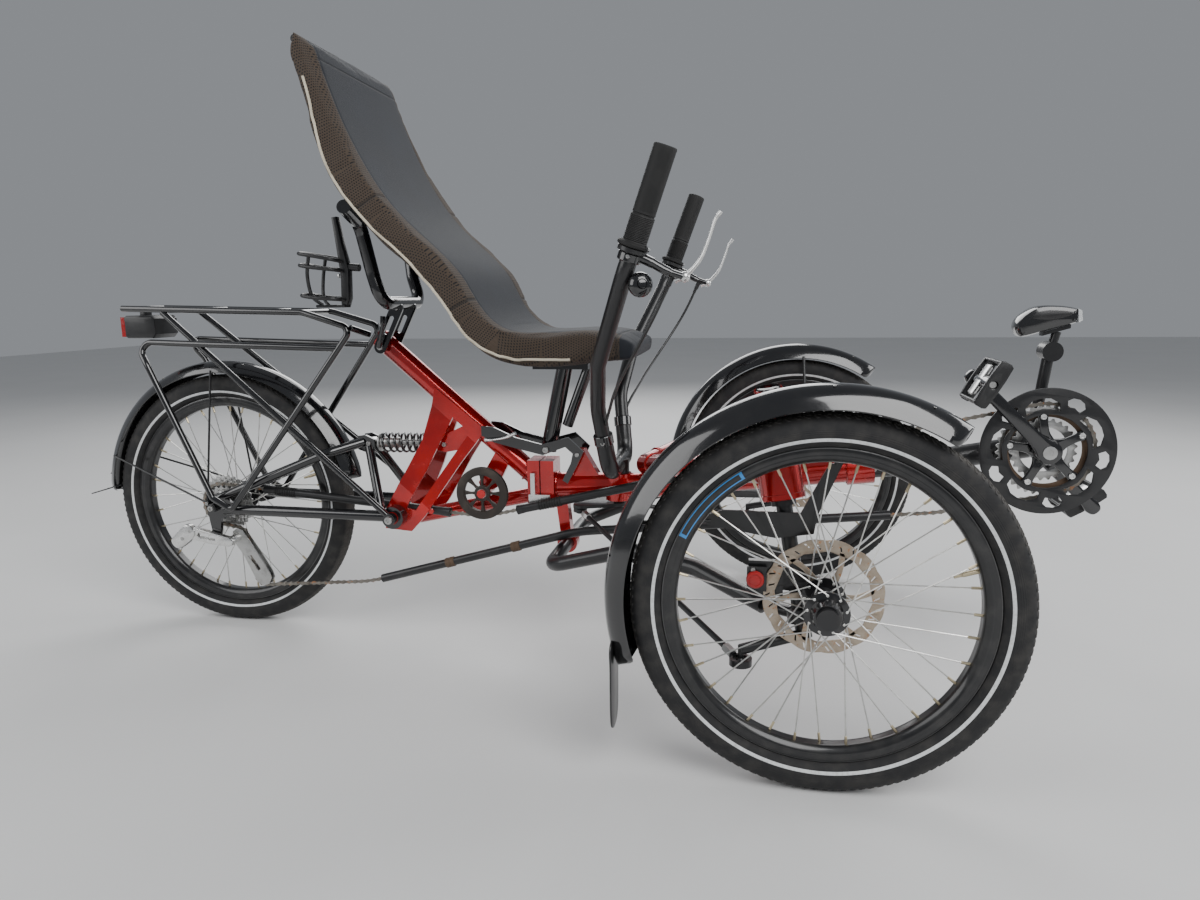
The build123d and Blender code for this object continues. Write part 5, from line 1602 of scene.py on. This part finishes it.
    def derailleur(self) -> None:
        """The rear mechanism: parallelogram, cage plates with windows and toothed pulleys."""
        body = Shape()
        rim = [(-90, 188), (-84, 174), (-70, 172), (-44, 190), (-36, 204), (-44, 217), (-58, 219), (-76, 203)]
        body.plate([rim], upright(0, -91, 0), 15.0, 3.6, smooth=True)
        arm = [
            (-60, 192), (-48, 216), (-6, 206), (34, 197), (43, 190), (40, 181), (30, 178), (0, 181),
            (-40, 188),
        ]
        slot_ = [(-34, 198), (-30, 204), (4, 198), (4, 190), (-22, 193)]
        body.plate([arm, slot_], upright(0, -88, 0), 12.0, 2.0)
        body.rod(at(30, -76.5, 188), at(30, -51, 188), 7.8, 20, 1.4)
        body.done("gear_changer_body", Finish.SILVER, stands_for=["rear_derailleur"])
        cage = Shape()
        leaf = [
            (17, 184), (20, 199), (30, 206), (41, 202), (68, 160), (93, 117), (96, 106), (90, 94), (78, 90),
            (66, 95), (60, 106), (40, 150),
        ]
        window = [(48, 150), (56, 152), (74, 124), (68, 120)]
        for across in (-52.0, -40.5):
            cage.plate([leaf, window], upright(0, across, 0), 2.0, 0.4)
        cage.done("gear_changer_cage", Finish.STEEL, "frame")
        wheels = Shape()
        for x, z in ((30, 188), (78, 108)):
            outlines = [toothed(15.8, 11, 3.4), *holes(5, 8.2, 2.6, 8)]
            wheels.plate(outlines, upright(x, self.chain_y - 1.4, z), 2.8, 0.3)
            wheels.rod(at(x, -51, z), at(x, -39, z), 4.0, 14, 0.6)
        wheels.done("gear_changer_wheels", Finish.BLACK_PLASTIC)
        heads = [(at(x, -52, z), RIGHT, 0.8) for x, z in ((30, 188), (78, 108))]
        heads += [(at(-64, -91, 192), RIGHT, 0.9), (at(-46, -91, 207), RIGHT, 0.8)]
        self.repeats.on_points(
            screw_head(4.4, 0.9, 2.0), "gear_changer_screws", heads, Finish.STEEL, "frame", "silver",
        )


@dataclass
class Shock:
    """The coil shock: damper, threaded collar, wound spring and its two eyes."""

    rear: Flat = (304.0, 376.0)
    front: Flat = (456.0, 377.0)
    coil_r: float = 17.6
    wire_r: float = 2.4
    turns: float = 7.5

    def make(self) -> None:
        """Builds the shock."""
        start, end = at(self.rear[0], 0, self.rear[1]), at(self.front[0], 0, self.front[1])
        along = (end - start).normalized()
        out = LEFT
        side = along.cross(out)
        spring = Shape()
        points = []
        for k in range(int(self.turns * 24) + 1):
            angle = 2 * pi * k / 24
            reach = 22 + 96 * k / (self.turns * 24)
            ray = out * cos(angle) + side * sin(angle)
            points.append(start + along * reach * MM + ray * self.coil_r * MM)
        spring.tube(points, self.wire_r, 10)
        spring.done("shock_spring", Finish.BLACK_GLOSS)
        damper = Shape()
        profile = [(10, 0), (10, 8), (14, 13.6), (17, 17.5), (19.4, 17.5), (19.6, 11), (26, 10.2)]
        profile += [(26 + k * 1.5 + h * 0.75, 10.2 - 0.5 * h) for k in range(22) for h in (0, 1)]
        profile += [
            (60, 6), (116, 6), (118, 12), (119, 19), (122, 19.5), (124, 14), (133, 11.5), (140, 8), (142, 0),
        ]
        damper.lathe(start, along, profile, 40, closed=False, first=out)
        damper.done("shock_damper", Finish.STEEL, stands_for=["shock"])
        eyes = Shape()
        for place, half in ((start, 11.5), (end, 8.5)):
            eyes.lathe(place, out, both_ways([(-half, 4), (-half, 9.2), (1 - half, 10)]), 28)
            eyes.rod(place - out * half * MM, place + out * half * MM, 3.9, 16, 0.3)
        eyes.done("shock_eyes", Finish.SILVER, "frame")


@dataclass
class Bars:
    """The handlebar's grips, shifters, brake levers, bell and cables."""

    repeats: Repeats
    foot: Place = (857.0, 286.3, 716.7)
    tip: Place = (905.0, 300.0, 850.0)
    yoke: Place = (779.4, 103.1, 403.0)

    def line(self, hand: int) -> tuple[Vector, Vector]:
        """The grip's foot and its direction on one side."""
        foot, tip = spots([self.foot, self.tip], hand)
        return foot, (tip - foot).normalized()

    def make(self) -> None:
        """Builds both sides."""
        grips = Shape()
        shifters = Shape()
        glossy = Shape()
        levers = Shape()
        barrels = Shape()
        for hand in (-1, 1):
            foot, along = self.line(hand)
            profile = [(0, 13.4), (0, 22.5), (1.2, 24), (4.6, 24), (6, 22.6), (7, 19)]
            profile += [(8 + k * 2.2 + h, 18.0 - 0.7 * (h > 0)) for k in range(17) for h in (0.0, 1.1)]
            profile += [(46, 16.0), (47.4, 16.0), (48, 17.2)]
            profile += [(50 + k * 3.0 + h * 1.5, 16.9 - 0.35 * h) for k in range(29) for h in (0, 1)]
            profile += [(138.6, 17), (141.2, 16.4), (142.2, 15), (142.2, 12), (138, 12), (138, 13.4)]
            grips.lathe(foot, along, profile, 40)
            profile = [(-8, 13.4), (-8, 20.5), (-7, 21.6), (-1.6, 21.6), (-0.6, 20.8), (-0.6, 13.4)]
            shifters.lathe(foot, along, profile, 40)
            window = foot - along * 0.0045 + AHEAD * 0.0205
            ends = [window + Vector((0, y * hand, 0)) for y in (-0.009, 0.013)]
            shifters.rod(*ends, 4.2, 12, 1.6)
            profile = [(-21, 13.4), (-21, 17), (-20, 18), (-10, 18), (-9, 17), (-9, 13.4)]
            glossy.lathe(foot, along, profile, 40)
            bracket = [(884, 284, 694), (906, 282, 682), (928, 281, 674)]
            bracket = [foot - along * 0.014 + AHEAD * 0.012, *spots(bracket, hand)]
            glossy.tube(smooth_line(bracket, 6), [10.0] * 7 + [9.0] * 6 + [7.6] * 6, 16, flat=0.75)
            blade = [
                (916, 280.5, 669), (932, 281.5, 676), (952, 284, 698), (964, 287, 726), (972, 290, 750),
                (980, 292, 761),
            ]
            reach = smooth_line(spots(blade, hand), 6)
            last = len(reach) - 5
            radii = [6.4 - 2.6 * min(1.0, k / 16) + (0.9 if k > last else 0.0) for k in range(len(reach))]
            levers.tube(reach, radii, 14, flat=0.62)
            levers.ball(at(930, hand * 281, 674), 8.0, 14)
            barrels.rod(at(914, hand * 281, 680), at(906, hand * 279.5, 662), 4.2, 12, 0.8)
            barrels.rod(at(906.5, hand * 279.6, 664), at(902, hand * 279, 654), 3.2, 12, 0.8)
        grips.done("grip_sleeves", Finish.RUBBER, "handlebar", ["grips"])
        shifters.done("shifter_bodies", Finish.BLACK_PLASTIC, "handlebar")
        glossy.done("lever_brackets", Finish.BLACK_GLOSS, "handlebar")
        levers.done("brake_levers", Finish.SILVER, "handlebar", ["controls"])
        barrels.done("barrel_adjusters", Finish.BLACK_PLASTIC, "handlebar")
        self.pointer()
        self.bell()
        self.cables()
        self.bolts()

    def pointer(self) -> None:
        """The plain gear windows in the shifters' fronts."""
        shape = Shape()
        for hand in (-1, 1):
            foot, along = self.line(hand)
            middle = foot - along * 0.0045 + Vector((0.0242, 0, 0))
            ends = [middle + Vector((0, y * hand, 0)) for y in (-0.006, 0.009)]
            shape.rod(*ends, 2.2, 10, 0.8)
        shape.done("gear_windows", Finish.CLEAR_LENS, "handlebar")

    def bell(self) -> None:
        """The black domed bell under the right shifter."""
        centre = at(868, -290, 664)
        face = Vector((0.35, -0.93, 0.1)).normalized()
        shape = Shape()
        dome = [(-12, 0), (-12, 9), (-9, 15), (-2, 18), (1, 18), (5, 16.6), (9, 13), (11.2, 8.6), (11.4, 7.4)]
        dome += [(10.8, 6.6), (12, 6), (12.6, 3), (12.8, 0)]
        shape.lathe(centre, face, dome, 40, closed=False)
        shape.rod(centre - face * 0.012, at(848, -279, 676), 5.0, 12, 1.0)
        shape.done("bell_dome", Finish.BLACK_GLOSS, "handlebar")

    def cables(self) -> None:
        """The brake cables, from the adjusters down to the ring on the bar."""
        for side, hand in (("right", -1), ("left", 1)):
            curve = bpy.data.curves.new(f"{side}_brake_cable", "CURVE")
            curve.dimensions = "3D"
            spline = curve.splines.new("NURBS")
            route = [
                (903, 279, 656), (894, 277, 634), (870, 269, 590), (836, 240, 536),
                (812, 196, 496), (799, 156, 468), (791, 133, 452), (785, 119, 436),
            ]
            spline.points.add(len(route) - 1)
            line = spots(route, hand)
            for point, place in zip(spline.points, line):
                point.co = (*place, 1)
            spline.order_u = 3
            spline.use_endpoint_u = True
            carrier = bpy.data.objects.new(f"{side}_brake_cable", curve)
            bare = bpy.data.meshes.new_from_object(carrier)
            bpy.data.meshes.remove(bare)
            curve.bevel_depth = 2.5 * MM
            curve.bevel_resolution = 3
            curve.use_fill_caps = True
            bpy.context.collection.objects.link(carrier)
            curve.materials.append(Finish.CABLE.material())
            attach(carrier, "handlebar")

    def bolts(self) -> None:
        """Clamp screws of the brackets and the yoke's rings."""
        places = []
        for hand in (-1, 1):
            foot, along = self.line(hand)
            places.append((foot - along * 0.015 + Vector((0, hand * 0.0178, 0)), Vector((0, hand, 0)), 0.8))
            ring_spot = at(self.yoke[0], hand * (self.yoke[1] + 14.6), self.yoke[2])
            places.append((ring_spot, Vector((0, hand, 0)), 1.0))
        places.append((at(787, 0, 354.6), UP, 1.7))
        self.repeats.on_points(screw_head(), "bar_screws", places, Finish.STEEL, "handlebar")
        shape = Shape()
        for hand in (-1, 1):
            place, above = spots([self.yoke, (772, 118, 460)], hand)
            up = above - place
            profile = both_ways([(-9, 13.2), (-9, 16.2), (-8, 17)])
            shape.lathe(place + up.normalized() * 0.006, up, profile, 36)
        shape.done("yoke_rings", Finish.BLACK_GLOSS, "handlebar")


@dataclass
class Fittings:
    """Welds, caps, screws, lamps, bottle cage, knobs and levers on the frame and the knuckles."""

    repeats: Repeats

    def make(self) -> None:
        """Builds them all."""
        self.welds()
        self.housings()
        self.screws()
        self.lamps()
        self.bottle_cage()
        self.knobs()
        self.levers()
        self.rod_nuts()

    def kingpin(self, hand: int) -> tuple[Vector, Vector]:
        """The top of one side's kingpin, and the way down it."""
        top, foot = spots([KINGPIN_TOP, KINGPIN_FOOT], -hand)
        return top, (foot - top).normalized()

    def bead(self, shape: Shape, place: Vector, along: Vector, radius: float, size: float = 2.2) -> None:
        """A weld's rippled bead round a tube."""
        along = along.normalized()
        out = along.orthogonal().normalized()
        side = along.cross(out)
        count = 72
        line = []
        for k in range(count):
            turn = 2 * pi * k / count
            ripple = 0.35 * (k % 2)
            line.append(place + (out * cos(turn) + side * sin(turn)) * (radius + 0.3 + ripple * 0.3) * MM)
        shape.tube(line, [size + 0.3 * (k % 2) for k in range(count)], 8, closed=True)

    def welds(self) -> None:
        """Beads where the frame's tubes meet."""
        shape = Shape()
        top, foot = at(333, 0, 576), at(628, 0, 318)
        slope = foot - top
        self.bead(shape, foot - slope.normalized() * 0.014, slope, 19)
        self.bead(shape, top + slope.normalized() * 0.004, slope, 18.4, 1.8)
        self.bead(shape, at(672, 0, 303), AHEAD, 23)
        boom = at(1236, 0, 351) - at(838, 0, 306)
        self.bead(shape, at(1236, 0, 351) - boom.normalized() * 0.044, boom, 25.6)
        root = at(838, 0, 346)
        for hand in SIDES.values():
            pin_top, down = self.kingpin(hand)
            arm = pin_top - root
            self.bead(shape, pin_top - arm.normalized() * 0.031, arm, 19.2)
            self.bead(shape, root + arm.normalized() * 0.036, arm, 19)
            for shift, start, end in ((-0.042, -0.4, 8), (0.030, 0, 8.2)):
                profile = [(start, 12), (start, 30), (1, 31.2), (7, 31.2), (end, 30), (end, 12)]
                shape.lathe(pin_top + down * shift, down, profile, 48)
        for hand in (-1, 1):
            washer = [(0, 5), (0, 11.6), (1.4, 11.6), (1.4, 5)]
            shape.lathe(at(374, hand * 84, 248), Vector((0, hand, 0)), washer, 32)
        shape.done("frame_welds", Finish.CANDY_RED)

    def housings(self) -> None:
        """Headset covers at both ends of the kingpin's housings."""
        shape = Shape()
        for hand in SIDES.values():
            pin_top, down = self.kingpin(hand)
            profile = [(-5.4, 11.2), (-5.4, 20), (-4, 25), (-0.5, 27), (-0.5, 11.2)]
            shape.lathe(pin_top - down * 0.042, down, profile, 40)
        shape.done("headset_covers", Finish.BLACK_GLOSS, "frame")

    def screws(self) -> None:
        """Screws of the latch, the pivot, the seat's clamp, the rack and the boom's clamp."""
        places = []
        for hand in (-1, 1):
            out = LEFT * hand
            for x, z, y, size in (
                (545, 391, 33, 1.0), (716, 366, 33, 1.0), (658, 374, 33, 1.5), (374, 248, 98, 1.9),
                (346, 561, 32.5, 1.5), (382, 632, 32.5, 1.1), (304, 376, 18, 1.2), (456, 377, 15, 1.2),
                (0, 253, 83, 1.5), (-10, 262, 80, 0.9), (1236, 351, 24, 0.9),
            ):
                places.append((at(x, hand * y, z), out, size))
        self.repeats.on_points(screw_head(), "frame_screws", places, Finish.STEEL)

    def lamps(self) -> None:
        """The head lamp and the tail lamp."""
        lamp = Shape()
        outline = [
            (1448, 591), (1450, 602), (1460, 614), (1480, 625), (1508, 626), (1532, 622.5), (1538, 618),
            (1538, 602), (1533, 597), (1500, 588), (1464, 577), (1454, 578),
        ]
        lamp.plate([outline], upright(0, -21, 0), 42.0, 8.0, smooth=True)
        lamp.done("head_lamp_body", Finish.BLACK_GLOSS, "frame", ["lamp"])
        trim = Shape()
        outline = [(1470, 606), (1480, 617), (1520, 617), (1527, 611), (1500, 604)]
        trim.plate([outline], upright(0, -21.6, 0), 43.2, 0.8, smooth=True)
        trim.done("head_lamp_trim", Finish.BLACK_PLASTIC)
        tail = Shape()
        outline = [(-188, 582), (-188, 618), (-184, 622), (-126, 622), (-120, 616), (-120, 586), (-128, 578)]
        tail.plate([[*outline, (-184, 578)]], upright(0, -34, 0), 68.0, 4.0)
        tail.plate([[(-170, 618), (-170, 630), (-158, 630), (-158, 618)]], upright(0, -10, 0), 20.0, 1.2)
        tail.done("tail_lamp_body", Finish.BLACK_PLASTIC, stands_for=["rear_lamp"])

    def bottle_cage(self) -> None:
        """The moulded cage: backbone with slots, two hoops and the foot."""
        y = -87.0
        shape = Shape()
        spine = [
            (297, 790), (306, 791), (314, 745), (324, 700), (322, 650), (318, 638), (306, 640), (308, 690),
            (302, 745),
        ]
        shape.plate([spine], upright(0, y - 9, 0), 18.0, 3.0)
        for z, drop, reach in ((724, 10, 236), (704, 6, 240), (652, 4, 246)):
            near = [(314, -12, z - drop), (300, -29, z - drop * 0.6), (268, -32, z), (242, -26, z + 4)]
            hoop = [*near, (reach, 0, z + 6), *((x, -aside, height) for x, aside, height in reversed(near))]
            points = [at(x, y + aside, height) for x, aside, height in hoop]
            shape.tube(smooth_line(points, 6), 3.4, 10)
        for hand in (-1, 1):
            rail = ((262, 30, 724), (256, 28, 690), (258, 20, 655), (272, 10, 639))
            shape.tube(smooth_line([at(x, y + hand * aside, z) for x, aside, z in rail], 6), 3.2, 10)
        foot = [(264, -20), (314, -12), (320, 0), (314, 12), (264, 20), (258, 0)]
        shape.plate([foot], Matrix.Translation(at(0, y, 634.5)), 5.0, 1.4)
        shape.rod(at(318, y, 705), at(342, y, 703), 6.6, 16, 1.0)
        shape.done("bottle_holder", Finish.BLACK_PLASTIC, stands_for=["bottle_cage"])
        heads = [(at(303, y, z), Vector((-1, 0, 0.1)), 1.1) for z in (760, 690)]
        self.repeats.on_points(screw_head(), "holder_screws", heads, Finish.SILVER, "frame", "steel")

    def knobs(self) -> None:
        """Pad adjusters and screws of the brakes' calipers."""
        for side, hand in SIDES.items():
            body = f"{side}_knuckle"
            knob = Shape()
            spot = at(WHEELBASE - 89, -hand * (HALF_TRACK - 29), 275)
            out = Vector((0, -hand, 0))
            profile = [(0, 0), (0, 10), (1, 11.4)]
            profile += [(1.6 + k * 0.9, 11.8 - 0.5 * (k % 2)) for k in range(6)]
            profile += [(7.0, 10.6), (7.4, 8.2), (6.2, 7.4), (6.2, 0)]
            knob.lathe(spot, out, profile, 30, closed=False)
            inner = at(WHEELBASE - 89, -hand * (HALF_TRACK - 59.5), 266)
            profile = [(0, 0), (0, 9.6), (1, 10.8), (5, 10.8), (6, 9.6), (6, 0)]
            knob.lathe(inner, -out, profile, 30, closed=False)
            knob.done(f"{side}_pad_knobs", Finish.RED_KNOB, body)
            screws = [
                (at(WHEELBASE + x, -hand * (HALF_TRACK - y), z), Vector((0, way * hand, 0)), size)
                for x, y, z, way, size in (
                    (-62, 47.4, 290, 1, 1.0), (-62, 47.4, 258, 1, 1.0), (-92, 28.9, 288, -1, 0.8),
                )
            ]
            self.repeats.on_points(screw_head(), f"{side}_caliper_screws", screws, Finish.STEEL, body)

    def levers(self) -> None:
        """Quick-release levers of the latch and the seat's clamp."""
        for name, finish, radii, line in (
            (
                "latch", Finish.SILVER, (5.0, 4.0, 5.0),
                ((545, -34, 391), (560, -38, 392), (585, -41, 397), (604, -41, 405)),
            ),
            (
                "seat_clamp", Finish.BLACK_GLOSS, (5.5, 4.4, 5.2),
                ((346, -37, 561), (352, -42, 575), (358, -44, 600), (360, -44, 618)),
            ),
        ):
            shape = Shape()
            foot, waist, tip = radii
            line = smooth_line(spots(line), 6)
            shape.tube(line, [foot] * 6 + [waist] * 7 + [tip] * 6, 12, flat=0.6)
            shape.done(f"{name}_lever", finish)

    def rod_nuts(self) -> None:
        """Lock nuts at both ends of the tie rods."""
        for side, hand in SIDES.items():
            start, end = spots([(720, 30, 263), (1020, 400, 155)], -hand)
            along = (end - start).normalized()
            body = f"{side}_tie_rod"
            sleeve = Shape()
            profile = [(0, 4.6), (0, 6.6), (1, 7.6), (16, 7.6), (18, 6), (18, 4.6)]
            for place, way in ((end - along * 0.018, -1), (start + along * 0.016, 1)):
                sleeve.lathe(place, along * way, profile, 6)
            sleeve.done(f"{side}_rod_nuts", Finish.STEEL, body)


@dataclass
class Studio:
    """The pale floor, the soft lights and the camera at the photograph's angle."""

    eye: Place = (0.3664, -1.485, 0.646)
    yaw: float = 10.62
    pitch: float = -10.35
    roll: float = -0.64
    lens: float = 24.96
    sky: float = 0.3

    def make(self) -> None:
        """Builds the stage."""
        self.camera()
        self.floor()
        self.lights()

    def camera(self) -> None:
        """The camera, level but for a small roll."""
        data = bpy.data.cameras.new("camera")
        data.lens = self.lens
        data.sensor_width = 36.0
        data.clip_start = 0.05
        yaw, pitch, roll = (radians(value) for value in (self.yaw, self.pitch, self.roll))
        ahead = Vector((-sin(yaw) * cos(pitch), cos(yaw) * cos(pitch), sin(pitch)))
        right = Vector((cos(yaw), sin(yaw), 0))
        up = right.cross(ahead)
        rolled = right * cos(roll) + up * sin(roll)
        above = up * cos(roll) - right * sin(roll)
        eye = linked("camera", data)
        turn = Matrix((rolled, above, -ahead)).transposed()
        eye.matrix_world = Matrix.Translation(self.eye) @ turn.to_4x4()
        bpy.context.scene.camera = eye

    def floor(self) -> None:
        """A wide plain floor."""
        mesh = bpy.data.meshes.new("floor")
        mesh.from_pydata([(-9, -9, 0), (9, -9, 0), (9, 12, 0), (-9, 12, 0)], [], [(0, 1, 2, 3)])
        mesh.materials.append(Pavement().build())
        linked("floor", mesh)

    def lights(self) -> None:
        """A broad key from the upper right, a fill from the left, a strip behind and a pale sky."""
        for name, place, aim, size, power in (
            ("key", (1.9, -2.4, 3.0), (0.1, 0.0, 0.35), 2.6, 120),
            ("fill", (-2.8, -1.8, 1.9), (0.0, 0.0, 0.4), 2.4, 48),
            ("back", (-0.6, 3.0, 2.6), (0.0, 0.0, 0.4), 2.8, 85),
            ("front", (3.2, 1.0, 1.6), (0.5, 0.0, 0.3), 1.8, 36),
        ):
            data = bpy.data.lights.new(name, "AREA")
            data.size = size
            data.energy = power
            facing = (Vector(aim) - Vector(place)).to_track_quat("-Z", "Y").to_matrix().to_4x4()
            linked(name, data).matrix_world = Matrix.Translation(place) @ facing
        world = bpy.data.worlds.new("sky")
        world.use_nodes = True
        background = world.node_tree.nodes["Background"]
        background.inputs[0].default_value = (0.86, 0.9, 0.96, 1)
        background.inputs[1].default_value = self.sky
        bpy.context.scene.world = world


def dress_nodes() -> None:
    """Gives every solid of the model the finish of its slot."""
    parts = frame["record"]["subparts"]
    named = {part["node"]: part["material_slot"] for part in parts if part.get("material_slot")}
    for name, node in frame["nodes"].items():
        finish = SLOTS.get(named[name], Finish.BLACK_PLASTIC)
        node.data.materials.clear()
        node.data.materials.append(finish.material())


def main() -> None:
    """Builds the scene in order."""
    logging.basicConfig(level=logging.INFO, format="%(name)s %(message)s")
    Studio().make()
    dress_nodes()
    repeats = Repeats()
    Wheel("right", repeats).make()
    Wheel("left", repeats).make()
    Wheel("rear", repeats, flanges=(-20.0, 32.0)).make()
    Mudguard("right", repeats).make()
    Mudguard("left", repeats).make()
    Mudguard("rear", repeats, half=30.0, crown_r=280.0, arc=(11.0, 178.0)).make()
    Seat().make()
    Drive(repeats).make()
    Shock().make()
    Bars(repeats).make()
    Fittings(repeats).make()


if __name__ == "__main__":
    main()
